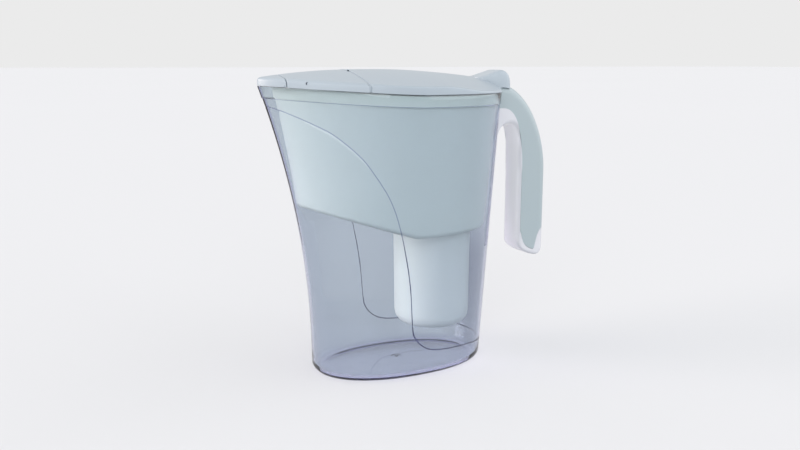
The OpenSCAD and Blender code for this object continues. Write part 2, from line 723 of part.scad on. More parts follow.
module spout_flap() {
    cut = -flap_ahead - flap_gap;
    turn = edge_angle(cut);
    half = lid_edge(turn)[1];
    nub_x = cut - nub_inset;
    outline = concat(
        along_edge(turn, 360 - turn, SIDE_STEPS),
        reversed(plain_cut(cut, half, 2))
    );
    color("#c3cdd6") difference() {
        union() {
            skin(dome_rings(outline, lerp(cut, -tip_x, FLAP_MID)));
            for (side = [0, 1]) mirror([0, side, 0]) {
                translate([arm_from_x, arm_half, arm_low_z]) cube([pivot_x - arm_from_x, arm_t, arm_h]);
                translate([pivot_x, arm_half, pivot_z]) rotate([-90, 0, 0]) cylinder(r = eye_r, h = arm_t);
                translate([nub_x, edge_half(nub_x), rim_z(nub_x) + seat_gap + nub_r]) sphere(r = nub_r);
            }
        }
        pivot_bore();
    }
}

module hinge_pin() {
    color("#b9bdc2") translate([hinge_x, 0, hinge_z]) rotate([90, 0, 0])
        cylinder(r = pin_r, h = 2 * knuckle_end, center = true);
}

module flap_pin() {
    color("#3d4450") translate([pivot_x, 0, pivot_z]) rotate([90, 0, 0])
        cylinder(r = pivot_r, h = 2 * (edge_half(pivot_x) - seat_gap), center = true);
}

// ---- Thumb rest: a hump clipped over the back of the dome, out over the handle ----
arm_rise = 7;
arm_top_z = rim_h + arm_rise;
thumb_mid = (thumb_from + thumb_to) / 2;
thumb_half_l = (thumb_to - thumb_from) / 2;
thumb_top_z = rim_h + thumb_rise;
thumb_edge_t = 0.8;
THUMB_PEAK = 0.72;
THUMB_DROP = 0.6;
THUMB_REAR_CURVE = 1.4;
THUMB_EDGE = 8;
THUMB_ROUND = 0.75;
thumb_peak_x = lerp(thumb_from, thumb_to, THUMB_PEAK);
function thumb_under(x, y) = max(dome(min(x, rear_rim_x), y), arm_top_z) + seat_gap;
function thumb_crest(x) =
    x < thumb_peak_x
        ? lerp(crest(thumb_from) + seat_gap, thumb_top_z,
            smooth((x - thumb_from) / (thumb_peak_x - thumb_from)))
        : lerp(thumb_top_z, arm_top_z,
            THUMB_DROP * power((x - thumb_peak_x) / (thumb_to - thumb_peak_x), THUMB_REAR_CURVE));
function thumb_over(x, y, t) =
    let (low = thumb_under(x, y) + thumb_edge_t)
    low + max(0, thumb_crest(x) - low) * (1 - pow(t, THUMB_EDGE));
THUMB_STEPS = 32;
THUMB_UNDER = [0.35, 0.7, 1];
THUMB_OVER = [1, 0.97, 0.92, 0.82, 0.6, 0.3];
function thumb_ring(t, over) = [
    for (i = [0:THUMB_STEPS - 1])
        let (
            a = 360 * i / THUMB_STEPS, c = cos(a), s = sin(a),
            x = thumb_mid + t * thumb_half_l * sign(c) * power(abs(c), THUMB_ROUND),
            y = t * thumb_half_w * sign(s) * power(abs(s), THUMB_ROUND)
        )
        [x, y, over ? thumb_over(x, y, t) : thumb_under(x, y)]
];

module thumb_rest() {
    color("#c3cdd6") skin(concat(
        [[[thumb_mid, 0, thumb_under(thumb_mid, 0)]]],
        [for (t = THUMB_UNDER) thumb_ring(t, false)],
        [for (t = THUMB_OVER) thumb_ring(t, true)],
        [[[thumb_mid, 0, thumb_over(thumb_mid, 0, 0)]]]
    ));
}

// ---- Handle: an arm off the rim that bends down into an upright grip with a free end ----
// The arm's outer face, the seam between cover and grip, and the grip's inner face are each a
// quarter of a superellipse from the arm down to the elbow.
handle_x = rear_len(rim_h) + handle_reach;
inner_x = handle_x - handle_depth;
arm_lead = 2.5;
arm_x = rear_len(rim_h) + arm_lead;
seam_z = arm_top_z - arm_depth;
arch_rise = 14.7;
arch_z = seam_z - arch_rise;
arch_r = 11;
arch_x = inner_x - arch_r;
arch_leg = 13.8;
SEAM_POWER = 0.8;
ARCH_POWER = 0.57;
function outer_at(q) = [lerp(arm_x, handle_x, cos(q)), lerp(elbow_z, arm_top_z, sin(q))];
function seam_at(q) = [
    lerp(arm_x, inner_x + lining_t, power(cos(q), SEAM_POWER)),
    lerp(elbow_z, seam_z, power(sin(q), SEAM_POWER))
];
function inner_at(q) = [
    lerp(arch_x, inner_x, power(cos(q), ARCH_POWER)), lerp(elbow_z, arch_z, power(sin(q), ARCH_POWER))
];
// The outside of the jug's back wall at height z and y off the middle, with the seat's gap
function back_at(y, z) =
    let (
        over_band = z > rim_h - band_h - band_out,
        r = rear_len(z) + (over_band ? band_out : 0) + seat_gap,
        s = power(abs(y) / half_w(z), 1 / ROUND)
    )
    r * pow(cos(asin(s)), ROUND);
// The cover's lower end is cut on a slant, and the grip wraps round below it
tip_h = 22;
cut_in_z = handle_low_z + 0.89 * tip_h;
cut_out_z = handle_low_z + 0.32 * tip_h;
cut_in_f = 0.14;
cut_out_f = 0.975;
function slant(f) = [
    inner_x + f * handle_depth, lerp(cut_in_z, cut_out_z, (f - cut_in_f) / (cut_out_f - cut_in_f))
];

CORNER_STEPS = 4;
// Half a rounded section as [depth, half-width] pairs, from the open side to the face
function corner(depth, half, r, t = 0) = concat(
    [[depth, half - t]],
    [
        for (k = [0:CORNER_STEPS])
            let (q = 90 * k / CORNER_STEPS)
            [r - (r - t) * sin(q), half - r + (r - t) * cos(q)]
    ]
);
function both_sides(side) = concat([for (p = side) [p[0], -p[1]]], [for (p = reversed(side)) p]);
function place(face, back, profile) = [
    for (p = profile) let (q = face + unit(back - face) * p[0]) [q[0], p[1], q[1]]
];
function on_jug(ring) = [for (p = ring) [back_at(p[1], p[2]), p[1], p[2]]];
function cover_ring(face, back) =
    let (h = norm(back - face))
    place(face, back, reversed(concat(
        both_sides(corner(h, handle_half_w, outer_edge_r)),
        reversed(both_sides(corner(h, handle_half_w, outer_edge_r, cover_t)))
    )));
ARM_TURNS = [90, 80, 70, 60, 50, 40, 30, 20, 10, 0];
UPRIGHT = [0.3, 0.6, 0.88];

module handle_cover() {
    cut_top = [0, seat_gap];
    arm = [for (q = ARM_TURNS) cover_ring(outer_at(q), seam_at(q))];
    upright = [
        for (t = UPRIGHT)
            cover_ring(
                [handle_x, lerp(elbow_z, cut_out_z, t)],
                [inner_x + lining_t, lerp(elbow_z, cut_in_z, t)]
            )
    ];
    end = cover_ring(slant(cut_out_f) + cut_top, slant(cut_in_f) + cut_top);
    color("#a9b3c0") channel(concat([on_jug(arm[0])], arm, upright, [end]));
}

// The grip's lining, its half-width narrowing towards the inner face
function lining_side(depth, half) =
    let (r = min(inner_edge_r, half / 2))
    depth > r
        ? concat([[depth, half]], [
            for (k = [0:CORNER_STEPS]) let (q = 90 * k / CORNER_STEPS) [r - r * sin(q), half - r + r * cos(q)]
        ])
        : let (turn = acos((r - depth) / r))
            [
                for (k = [0:CORNER_STEPS + 1])
                    let (q = turn * (1 - k / (CORNER_STEPS + 1)))
                    [r - r * cos(q), half - r + r * sin(q)]
            ];
function grip_ring(face, back, half = handle_half_w) =
    place(face, back, rod_ring(lining_side(norm(back - face), half)));
// Half-width left by the rounded outer edge at a place across the handle
function half_beside(x) =
    let (r = outer_edge_r, u = min(r, handle_x - x))
    handle_half_w - r + sqrt(r * r - (r - u) * (r - u));
// The grip's lower end as [share of the depth, share of the tip's height, share of the slant]
TIP = [
    [0.02, 1, 0.13], [0.11, 0.745, 0.19], [0.32, 0.473, 0.4], [0.55, 0.232, 0.6], [0.74, 0.073, 0.76],
    [0.87, 0, 0.88], [0.96, 0.082, 0.94], [0.985, 0.182, 0.97]
];
// Each turn of the arch's leg or of the arch itself, with the turn of the seam above it
LEG_TURNS = [[8, 90], [45, 80]];
ARCH_TURNS = [[90, 70], [78, 60], [64, 50], [50, 40], [37, 30], [24, 20], [12, 10], [0, 0]];

module handle_grip() {
    leg = [
        for (turn = LEG_TURNS)
            let (x = lerp(arch_x, back_at(0, arch_z), cos(turn[0])))
            grip_ring([x, arch_z - arch_leg * (1 - sin(turn[0]))], seam_at(turn[1]))
    ];
    arch = [for (turn = ARCH_TURNS) grip_ring(inner_at(turn[0]), seam_at(turn[1]))];
    upright = [
        for (t = UPRIGHT) let (z = lerp(elbow_z, cut_in_z, t)) grip_ring([inner_x, z], [inner_x + lining_t, z])
    ];
    tip = [
        for (p = TIP)
            let (x = inner_x + p[0] * handle_depth)
            grip_ring([x, handle_low_z + p[1] * tip_h], slant(p[2]), half_beside(x))
    ];
    color("#cfd0dc") rod(concat([on_jug(leg[0])], leg, arch, upright, tip), on_jug(rod_inner(leg[0])));
}

frame_gap = 1;
root_half_w = 8;
root_t = 2.5;
// The frame inside the handle is moulded with its root plate, which is welded to the jug's back wall
module handle_frame() {
    outer_gap = cover_t + seat_gap + frame_gap;
    web_gap = lining_t / 2;
    outer = [for (q = ARM_TURNS) let (o = outer_at(q), s = seam_at(q)) o + unit(s - o) * outer_gap];
    inner = [for (q = ARM_TURNS) let (o = outer_at(q), s = seam_at(q)) s + unit(o - s) * web_gap];
    low_z = cut_in_z + root_t;
    low_end = [[handle_x - outer_gap, low_z], [inner_x + lining_t + web_gap, low_z]];
    root_low_z = seam_z + web_gap;
    root_top_z = arm_top_z - outer_gap;
    rooted = function(z, off) [rear_len(z) + band_out + seat_gap + off, z];
    color("#b7bccb") rotate([90, 0, 0]) union() {
        linear_extrude(frame_t, center = true) polygon(concat(
            [rooted(root_top_z, root_t / 2)], outer, low_end, reversed(inner), [rooted(root_low_z, root_t / 2)]
        ));
        linear_extrude(2 * root_half_w, center = true) polygon([
            rooted(root_low_z, 0), rooted(root_low_z, root_t), rooted(root_top_z, root_t), rooted(root_top_z, 0)
        ]);
    }
}

jug_shell();
handle_frame();
handle_cover();
handle_grip();
reservoir();
filter_cup();
cartridge_shell();
cartridge_cap();
cartridge_seal();
inlet_screen();
divider_screen();
outlet_screen();
resin_bed();
carbon_bed();
pull_ring();
lid_shell();
thumb_rest();
hinge_pin();
flip_lid();
flap_pin();
spout_flap();
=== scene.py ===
"""Looks of the water filter pitcher: a clear tinted jug, a white reservoir and filter cup, a pale flip lid
and a two-tone handle. Shapes are worked out in millimetres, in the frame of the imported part."""
import math

import bmesh
import bpy
import numpy as np
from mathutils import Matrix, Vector


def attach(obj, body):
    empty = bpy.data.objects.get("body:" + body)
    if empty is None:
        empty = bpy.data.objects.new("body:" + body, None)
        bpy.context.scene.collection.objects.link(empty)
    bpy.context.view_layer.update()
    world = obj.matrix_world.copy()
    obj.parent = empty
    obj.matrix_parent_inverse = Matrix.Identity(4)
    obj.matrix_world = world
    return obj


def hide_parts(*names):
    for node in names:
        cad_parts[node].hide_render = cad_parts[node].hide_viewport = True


# ---- Camera ----
MM = 0.001
CAMERA_AT = (-313.2, -640.2, 263.8)
CAMERA_LOOKS_AT = (3.9, 0, 123.6)
LENS = 36.99

camera_data = bpy.data.cameras.new("camera")
camera_data.lens = LENS
camera_data.sensor_width = 36
camera = bpy.data.objects.new("camera", camera_data)
camera.location = Vector(CAMERA_AT) * MM
camera.rotation_euler = (Vector(CAMERA_LOOKS_AT) - Vector(CAMERA_AT)).to_track_quat("-Z", "Y").to_euler()
bpy.context.scene.collection.objects.link(camera)
bpy.context.scene.camera = camera

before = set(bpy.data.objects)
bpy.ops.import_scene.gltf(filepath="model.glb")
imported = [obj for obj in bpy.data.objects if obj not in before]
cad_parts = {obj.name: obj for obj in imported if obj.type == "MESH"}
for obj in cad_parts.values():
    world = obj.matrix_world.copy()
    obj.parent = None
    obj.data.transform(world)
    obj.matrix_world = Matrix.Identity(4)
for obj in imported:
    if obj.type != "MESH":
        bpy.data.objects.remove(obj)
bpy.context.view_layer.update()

# ---- The pitcher's sizes in millimetres ----
RIM_H, SPOUT_RISE = 239, 7.6
FOOT_FRONT, SPOUT_REACH, FOOT_REAR, REAR_LEAN = 78.2, 43.4, 79.5, 18
FOOT_HALF_W, SIDE_LEAN = 50.5, 9
WALL, FLOOR_T, FOOT_R = 2.4, 3, 6
BAND_H, BAND_OUT, BAND_WALL = 10, 0.5, 1.7
HOPPER_WALL, HOPPER_GAP, HOPPER_DRAFT, POUR_GAP = 1.8, 1, 2.2, 8.2
HOPPER_FLOOR_Z, HOPPER_FLOOR_T, RAMP_SLOPE, HOPPER_R = 122, 2, 0.32, 5
COLLAR_T, COLLAR_GAP, COLLAR_TOP_DROP = 1.6, 0.3, 0.8
CUP_X, CUP_R, CUP_HOLE_GAP, CUP_FLANGE_W = 35.5, 34.4, 0.35, 3.4
CROWN_RISE, SKIRT_H, REAR_SKIRT_H = 20.4, 6.3, 1.8
LID_T, SKIRT_T, LIP_H, LIP_T, SEAT_GAP = 2, 2.2, 4, 1.5, 0.3
HINGE_AHEAD, GROOVE_W, BARREL_R = 47.5, 2, 1.4
KNUCKLE_HALF, KNUCKLE_LEN, KNUCKLE_GAP = 4, 3.5, 0.3
FLAP_AHEAD, FLAP_GAP, PIVOT_AHEAD, PIVOT_RISE, PIVOT_R = 104.4, 0.9, 91.5, 4.4, 1.2
ARM_T, ARM_HALF = 2.4, 11
THUMB_HALF_W, THUMB_FROM = 14, 76
HANDLE_HALF_W, HANDLE_REACH, HANDLE_DEPTH, HANDLE_LOW_Z = 13, 54, 31, 85
ELBOW_Z, ARM_DEPTH, OUTER_EDGE_R, INNER_EDGE_R = 165, 21.5, 8, 5
ARM_ROOT, ARM_RISE, ARM_BOW = 2.5, 7, 1.07
COVER_T, LINING_T = 2.2, 3

# Exponents of the plan, of its prow, and of the curves along the front and the rim
ROUND, PROW_X, PROW_Y, PROW_GROWTH = 0.9, 1, 1.5, 1.2
SPOUT_CURVE, RIM_CURVE = 2, 1.3
TIP_Z = RIM_H + SPOUT_RISE
TIP_X = FOOT_FRONT + SPOUT_REACH


def lerp(a, b, t):
    return a + (b - a) * t


def ease(t):
    t = np.clip(t, 0, 1)
    return t * t * (3 - 2 * t)


def fade(value, start, end):
    """0 up to start and 1 from end on, eased between; end may be the lower one."""
    return ease((value - start) / (end - start))


def power(base, exponent):
    return np.power(np.maximum(base, 0), exponent)


def arc(low, high, n):
    """Angles from low to high in degrees, as radians."""
    return np.radians(np.linspace(low, high, n))


def fillet(low, high, n):
    """Steps round an edge of radius 1: how far along the one face and back from the other."""
    return [(1 - math.cos(q), 1 - math.sin(q)) for q in arc(low, high, n)]


def front_len(z):
    return FOOT_FRONT + SPOUT_REACH * power(z / TIP_Z, SPOUT_CURVE)


def rear_len(z):
    return FOOT_REAR + REAR_LEAN * z / RIM_H


def half_w(z):
    return FOOT_HALF_W + SIDE_LEAN * z / RIM_H


# The handle's outer and inner face, and where its arm starts
HANDLE_X = rear_len(RIM_H) + HANDLE_REACH
INNER_X = HANDLE_X - HANDLE_DEPTH
ARM_X, ARM_TOP_Z = rear_len(RIM_H) + ARM_ROOT, RIM_H + ARM_RISE


def ring(xy, z):
    return np.stack(np.broadcast_arrays(*xy, z), -1).astype(float)


def section(turn, z, front, rear, half):
    """A ring at height z: a superellipse at the foot whose front sharpens into a prow towards the rim."""
    c, s = np.cos(turn), np.sin(turn)
    grown = np.minimum(1, power(z / RIM_H, PROW_GROWTH))
    behind = c >= 0
    along = np.where(behind, ROUND, lerp(ROUND, PROW_X, grown))
    across = np.where(behind, ROUND, lerp(ROUND, PROW_Y, grown))
    x = np.where(behind, rear, -front) * power(np.abs(c), along)
    y = half * np.sign(s) * power(np.abs(s), across)
    return ring((x, y), z)


def wall_ring(turn, z, out=0):
    """The jug's outside at height z, moved out. z is one height or one for each angle."""
    z = np.zeros_like(turn) + z
    return section(turn, z, front_len(z) + out, rear_len(z) + out, half_w(z) + out)


def rim_z(x):
    return RIM_H + SPOUT_RISE * power(-x / TIP_X, RIM_CURVE)


def rim_level(turn):
    """Height of the rim at each angle: it rises with x, and x depends on the height."""
    z = np.full_like(turn, RIM_H, dtype=float)
    for _ in range(6):
        z = rim_z(wall_ring(turn, z)[:, 0])
    return z


def turns_round(*spans):
    """Angles round a section in radians, from (from, to, step) spans in degrees for the far half, mirrored."""
    half = np.concatenate([np.arange(low, high - 0.01, step) for low, high, step in spans])
    return np.radians(np.concatenate([half, [180], 360 - half[:0:-1]]))


# ---- Meshes ----
# Edges that bend more than this are drawn sharp
SHARP = math.radians(32)


def faces_between(counts, loop):
    """Quads from each ring of points to the next, or a fan where a ring is one point."""
    starts = np.concatenate([[0], np.cumsum(counts)])
    n = max(counts)
    found = []
    for k in range(len(counts) - (0 if loop else 1)):
        m = (k + 1) % len(counts)
        low, high = ([int(starts[c]) + (0 if counts[c] == 1 else i) for i in range(n)] for c in (k, m))
        for i in range(n):
            j = (i + 1) % n
            found.append((k, tuple(dict.fromkeys([low[i], high[i], high[j], low[j]]))))
    return found


def capped(rings):
    """Rings closed by a point in the middle of the first and of the last."""
    return [rings[0].mean(0, keepdims=True), *rings, rings[-1].mean(0, keepdims=True)]


def put(name, data):
    made = bpy.data.objects.new(name, data)
    bpy.context.scene.collection.objects.link(made)
    return made


def finished(shell, name, material, body, slot, replaced):
    """An object of a closed mesh, smooth but for its sharp edges, that stands in for solids of a body."""
    bmesh.ops.recalc_face_normals(shell, faces=shell.faces)
    for face in shell.faces:
        face.smooth = True
    for edge in shell.edges:
        edge.smooth = len(edge.link_faces) == 2 and edge.calc_face_angle(0) < SHARP
    mesh = bpy.data.meshes.new(name)
    shell.to_mesh(mesh)
    shell.free()
    mesh.materials.append(material)
    made = put(name, mesh)
    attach(made, body)
    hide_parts(*replaced)
    return made


def piece(name, skins, *role, loop=False, kinds=None):
    """One object from closed skins of rings. kinds marks the faces after a ring with a number other than 0."""
    shell = bmesh.new()
    for rings in skins:
        rings = [np.atleast_2d(r) for r in rings]
        points = [shell.verts.new(p * MM) for r in rings for p in r]
        for row, corners in faces_between([len(r) for r in rings], loop):
            face = shell.faces.new([points[c] for c in corners])
            face.material_index = (kinds or {}).get(row, 0)
    bmesh.ops.remove_doubles(shell, verts=shell.verts, dist=2e-6)
    bmesh.ops.dissolve_degenerate(shell, edges=shell.edges, dist=1e-6)
    return finished(shell, name, *role)


def channel(name, rings, *role):
    """One object from an open channel's section, swept and filled at both ends. Each ring runs round its outside
    and back round its inside."""
    shell = bmesh.new()
    n = len(rings[0])
    rows = [[shell.verts.new(p * MM) for p in r] for r in rings]
    for low, high in zip(rows, rows[1:]):
        for i in range(n):
            j = (i + 1) % n
            shell.faces.new([low[i], high[i], high[j], low[j]])
    for row in (rows[0], rows[-1]):
        for i in range(n // 2 - 1):
            shell.faces.new([row[i], row[i + 1], row[n - 2 - i], row[n - 1 - i]])
    return finished(shell, name, *role)


# ---- Materials ----
FLOW_MM, RIPPLE_MM, RIPPLE_DEPTH_MM, THREAD_RISE_MM = 90, 30, 0.02, 0.15
PLASTIC_IOR, STYRENE_IOR, GRAIN_IOR = 1.49, 1.5, 1.5
# How far the grain stirs a surface's roughness either way
PLASTIC_STIR, STEEL_STIR = 0.05, 0.08
# A wave texture repeats every 2 pi / 20 at scale 1
WAVE_UNIT = 20


def linear(colour):
    """An sRGB hex colour as linear RGBA."""
    shares = [int(colour[i:i + 2], 16) / 255 for i in (1, 3, 5)]
    return [s / 12.92 if s <= 0.04045 else ((s + 0.055) / 1.055) ** 2.4 for s in shares] + [1]


def add(material, kind, sockets, **settings):
    """Adds a node to a material with its settings, values and links."""
    tree = material.node_tree
    node = tree.nodes.new(kind)
    for name, value in settings.items():
        setattr(node, name, value)
    for name, value in sockets.items():
        if isinstance(value, bpy.types.NodeSocket):
            tree.links.new(value, node.inputs[name])
        else:
            node.inputs[name].default_value = value
    return node


def new_material(name):
    material = bpy.data.materials.new(name)
    material.use_nodes = True
    material.node_tree.nodes.clear()
    return material


def on_object(name):
    """A new material, and the place of a point in its object in metres."""
    material = new_material(name)
    return material, add(material, "ShaderNodeTexCoord", {}).outputs["Object"]


def noise(material, place, size_mm, detail):
    return add(material, "ShaderNodeTexNoise", {
        "Vector": place, "Scale": 1 / (size_mm * MM), "Detail": detail}).outputs["Fac"]


def blend(material, share, deep, pale):
    """Two colours mixed by a socket; a colour is a hex string or a socket."""
    ends = [linear(c) if isinstance(c, str) else c for c in (deep, pale)]
    return add(material, "ShaderNodeMix", {"Factor": share, "A": ends[0], "B": ends[1]},
               data_type="RGBA").outputs["Result"]


def stir(material, share, middle, reach):
    """A value that a socket varies by reach either way."""
    return add(material, "ShaderNodeMapRange", {
        "Value": share, "To Min": middle - reach, "To Max": middle + reach}).outputs["Result"]


def bump(material, height, depth_mm, strength, **settings):
    return add(material, "ShaderNodeBump", {
        "Height": height, "Distance": depth_mm * MM, "Strength": strength}, **settings).outputs["Normal"]


def coat(material, sockets):
    """Gives a material its surface and hands it back."""
    skin = add(material, "ShaderNodeBsdfPrincipled", sockets)
    add(material, "ShaderNodeOutputMaterial", {"Surface": skin.outputs["BSDF"]})
    return material


def moulded_plastic(name, pale, deep, roughness, grain_mm, depth_mm, milky=0, milky_mm=2, pad=None):
    """Injection-moulded plastic: flow of the melt varies its colour slightly, and a spark-eroded skin gives a fine
    grain. pad is painted light: a paler shade over the middle of a face that lies in shade, given as its colour,
    then where it fades out in mm, across and in x."""
    material, place = on_object(name)
    colour = blend(material, noise(material, place, FLOW_MM, 2), deep, pale)
    # The pad is painted light: a paler patch over the middle of a face that lies in shade
    if pad:
        axes = add(material, "ShaderNodeSeparateXYZ", {"Vector": place})
        across = add(material, "ShaderNodeMath", {0: axes.outputs["Y"]}, operation="ABSOLUTE")
        fades = [add(material, "ShaderNodeMapRange", {
            "Value": way, "From Min": low * MM, "From Max": high * MM}, interpolation_type="SMOOTHSTEP")
            for way, (low, high) in zip((across.outputs["Value"], axes.outputs["X"]), pad[1:])]
        outside = add(material, "ShaderNodeMath", {
            0: fades[0].outputs["Result"], 1: fades[1].outputs["Result"]}, operation="MAXIMUM")
        colour = blend(material, outside.outputs["Value"], pad[0], colour)
    grain = noise(material, place, grain_mm, 3)
    return coat(material, {
        "Base Color": colour, "Roughness": stir(material, grain, roughness, PLASTIC_STIR),
        "IOR": PLASTIC_IOR, "Normal": bump(material, grain, depth_mm, 0.5),
        "Subsurface Weight": milky, "Subsurface Scale": milky_mm * MM, "Subsurface Radius": (1, 1, 1)})


def clear_styrene(name, density, absorbs):
    """Injection-moulded clear styrene, polished in the tool: what is behind shows through tinted by the mesh's
    wall_tint, which holds painted shade and painted light; faint flow ripples stir the highlights, and long paths
    through the wall turn deep violet blue."""
    material, place = on_object(name)
    tint = add(material, "ShaderNodeAttribute", {}, attribute_name="wall_tint")
    flow = noise(material, place, RIPPLE_MM, 1)
    glass = add(material, "ShaderNodeBsdfPrincipled", {
        "Base Color": tint.outputs["Color"], "Roughness": 0, "IOR": STYRENE_IOR, "Transmission Weight": 1,
        "Normal": bump(material, flow, RIPPLE_DEPTH_MM, 0.3)})
    lamp = add(material, "ShaderNodeLightPath", {})
    through = add(material, "ShaderNodeBsdfTransparent", {"Color": linear("#FFFFFF")})
    surface = add(material, "ShaderNodeMixShader", {
        0: lamp.outputs["Is Shadow Ray"], 1: glass.outputs["BSDF"], 2: through.outputs["BSDF"]})
    inside = add(material, "ShaderNodeVolumeAbsorption", {"Color": linear(absorbs), "Density": density})
    add(material, "ShaderNodeOutputMaterial", {
        "Surface": surface.outputs["Shader"], "Volume": inside.outputs["Volume"]})
    return material


def woven_screen(name, thread, gap, pitch_mm):
    """Woven polypropylene mesh: pale threads crossing over darker gaps. The real pitch of 0.25 mm is too fine
    to show, so pitch_mm is coarser."""
    material, place = on_object(name)
    turns = 2 * math.pi / WAVE_UNIT / (pitch_mm * MM)
    warp, weft = (add(material, "ShaderNodeTexWave", {"Vector": place, "Scale": turns}, bands_direction=way)
                  for way in ("X", "Y"))
    weave = add(material, "ShaderNodeMath", {0: warp.outputs["Fac"], 1: weft.outputs["Fac"]}, operation="MAXIMUM")
    return coat(material, {
        "Base Color": blend(material, weave.outputs["Value"], gap, thread), "Roughness": 0.5, "IOR": PLASTIC_IOR,
        "Normal": bump(material, weave.outputs["Value"], THREAD_RISE_MM, 0.8)})


def packed_grains(name, pale, deep, roughness, grain_mm, depth_mm):
    """A bed of grains: each cell is one grain with its own shade, rounded by a bump that falls to its edge."""
    material, place = on_object(name)
    grains = add(material, "ShaderNodeTexVoronoi", {"Vector": place, "Scale": 1 / (grain_mm * MM)})
    shade = add(material, "ShaderNodeSeparateColor", {"Color": grains.outputs["Color"]})
    return coat(material, {
        "Base Color": blend(material, shade.outputs["Red"], deep, pale), "Roughness": roughness, "IOR": GRAIN_IOR,
        "Normal": bump(material, grains.outputs["Distance"], depth_mm, 1, invert=True)})


def drawn_steel(name, pale, deep, roughness, line_mm):
    """Stainless wire, drawn and cut: a grey metal whose fine draw lines along y stretch its highlight."""
    material, place = on_object(name)
    along = add(material, "ShaderNodeMapping", {"Vector": place, "Scale": (1, 0.02, 1)})
    lines = noise(material, along.outputs["Vector"], line_mm, 2)
    return coat(material, {
        "Base Color": blend(material, lines, deep, pale),
        "Roughness": stir(material, lines, roughness, STEEL_STIR), "Metallic": 1})


# The kinds of faces: plain; on the moulded line and the ledge under the band, with a darker tint of painted shade;
# and at the foot, floor and rim, with a paler tint of painted light
PLAIN, LINE_SHADE, PALE_LIGHT = range(3)
KIND_TINTS = ["#DDE5E6", "#8D95B2", "#EEF4F3"]
# Tints that fade in over those, all painted shade: darker on the line where it is deep, darker and bluer along the
# prow's edge, and darker at the back of the body low down
DEEP_LINE_SHADE_TINT, PROW_SHADE_TINT, REAR_SHADE_TINT = "#1E244C", "#A6A8C9", "#AAB1BA"
PROW_EDGE_HALF, PROW_EDGE_Z = 3.6, (110, 170)
REAR_SHADE_X, REAR_SHADE_Z = (68, 84), (140, 85)
jug_styrene = clear_styrene("jug_moulded_clear_styrene", 34, "#5000E2")
# Unpigmented polypropylene, moulded: a milky white, slightly waxy body that lets a little light in
hopper_pp = moulded_plastic("reservoir_moulded_white_polypropylene", "#C8D2CC", "#C3CEC8", 0.35, 0.9, 0.02, 0.1)
# The same plastic with a touch more gloss taken off by the draft of a deep mould
cup_pp = moulded_plastic("cup_moulded_white_polypropylene", "#C5CDC9", "#C1C9C5", 0.4, 0.9, 0.02, 0.1)
# Pale blue-grey ABS, moulded against a spark-eroded face: a satin skin with one broad soft highlight
lid_abs = moulded_plastic("lid_moulded_pale_abs", "#9CA7B0", "#97A2AC", 0.33, 0.8, 0.02)
# Greener grey ABS on the handle, a little more worn to a sheen by the hand
cover_abs = moulded_plastic("handle_cover_moulded_abs", "#99A6AB", "#94A1A7", 0.36, 0.8, 0.02)
# Soft elastomer moulded over the handle: pale lilac, matt, with a grain that feels dry; its pad, paler in the
# middle of the inner face, is painted light on the face that the jug and reservoir shade
grip_rubber = moulded_plastic("handle_grip_moulded_elastomer", "#C3C5CB", "#BFC1C8", 0.6, 0.8, 0.03,
                              pad=("#F6F6F9", (8.5, 12.6), (INNER_X + 5, INNER_X + 12)))
# Structural ABS inside the handle: plain and matt, seen only when the covers are off
core_abs = moulded_plastic("handle_core_moulded_abs", "#C4C8D6", "#BCC0D0", 0.45, 0.8, 0.02)
# Food-grade polypropylene of the cartridge: cooler and whiter than the reservoir
cartridge_pp = moulded_plastic("cartridge_moulded_white_polypropylene", "#E2E5E8", "#DADEE2", 0.4, 0.8, 0.02, 0.1)
# Pigmented polypropylene cap: soft blue that marks the end to hold
cap_pp = moulded_plastic("cartridge_cap_moulded_blue_polypropylene", "#6288B8", "#587FB0", 0.4, 0.8, 0.02)
# Compression-moulded silicone: grey, dull and faintly translucent at its lip
seal_silicone = moulded_plastic("seal_moulded_grey_silicone", "#8E969E", "#868E96", 0.6, 0.5, 0.03, 0.2, 1)
# Acetal pin: nearly black, slick, with the ends' moulding grain
pin_acetal = moulded_plastic("flap_pin_moulded_dark_acetal", "#363D4A", "#2E3542", 0.3, 0.5, 0.01)
# Woven polypropylene, pale with darker gaps, so that a screen reads as a mesh and not as a disc
screen_pp = woven_screen("screen_woven_polypropylene", "#E6E8EA", "#8F959B", 1.2)
# Amber ion-exchange resin: glossy beads of 0.5 to 1 mm
resin = packed_grains("resin_bed_ion_exchange_beads", "#D2A862", "#9C6F33", 0.25, 1.0, 0.4)
# Activated carbon from coconut shell: dull black, sharp granules of 1 to 2 mm
carbon = packed_grains("carbon_bed_granular_activated_carbon", "#35363A", "#141518", 0.75, 1.6, 0.6)
# Stainless wire: a bright, cool grey with a highlight drawn out along the pin
pin_steel = drawn_steel("hinge_pin_drawn_stainless_steel", "#B9BDC2", "#9DA2A8", 0.28, 0.3)

# ---- Jug: clear wall with a moulded line that sweeps from the spout down to the foot ----
# The line's course on each side, as x against z
LINE_X = [-118, -114, -108.6, -94.7, -75, -61.6, -50.7, -40, -32, -26.3, -20.4, -14.5, -11.5, -10.4, -9.6, -6.4,
          0.4, 7, 14, 33, 51, 69, 100]
LINE_Z = [231.2, 230, 228, 221, 210.5, 199, 188, 172, 159, 145.5, 125, 95, 71.5, 47, 40, 33.5,
          26.7, 23.5, 22, 21, 20, 17.3, 15]
LINE_W, LINE_DEPTH_HIGH, LINE_DEPTH_LOW = 0.9, 0.16, 0.4
LINE_DEEPENS, LEDGE_LOWEST = (135, 105), RIM_H - BAND_H - 2
# Heights between which the line is looked for, and how much of the room up to the ledge it may take
LINE_SPAN, LINE_ROOM = (FOOT_R + 4, TIP_Z - BAND_H - 3), 0.6
# Rows of the wall across the line, as shares of its width either way
LINE_ROWS = (-0.55, -0.2, 0.2, 0.55)
# The foot stands on a narrow ring round a shallow dish, as inset and height
FOOT_DISH = [(13, 0.4), (9, 0.33), (5, 0.08), (3, 0)]
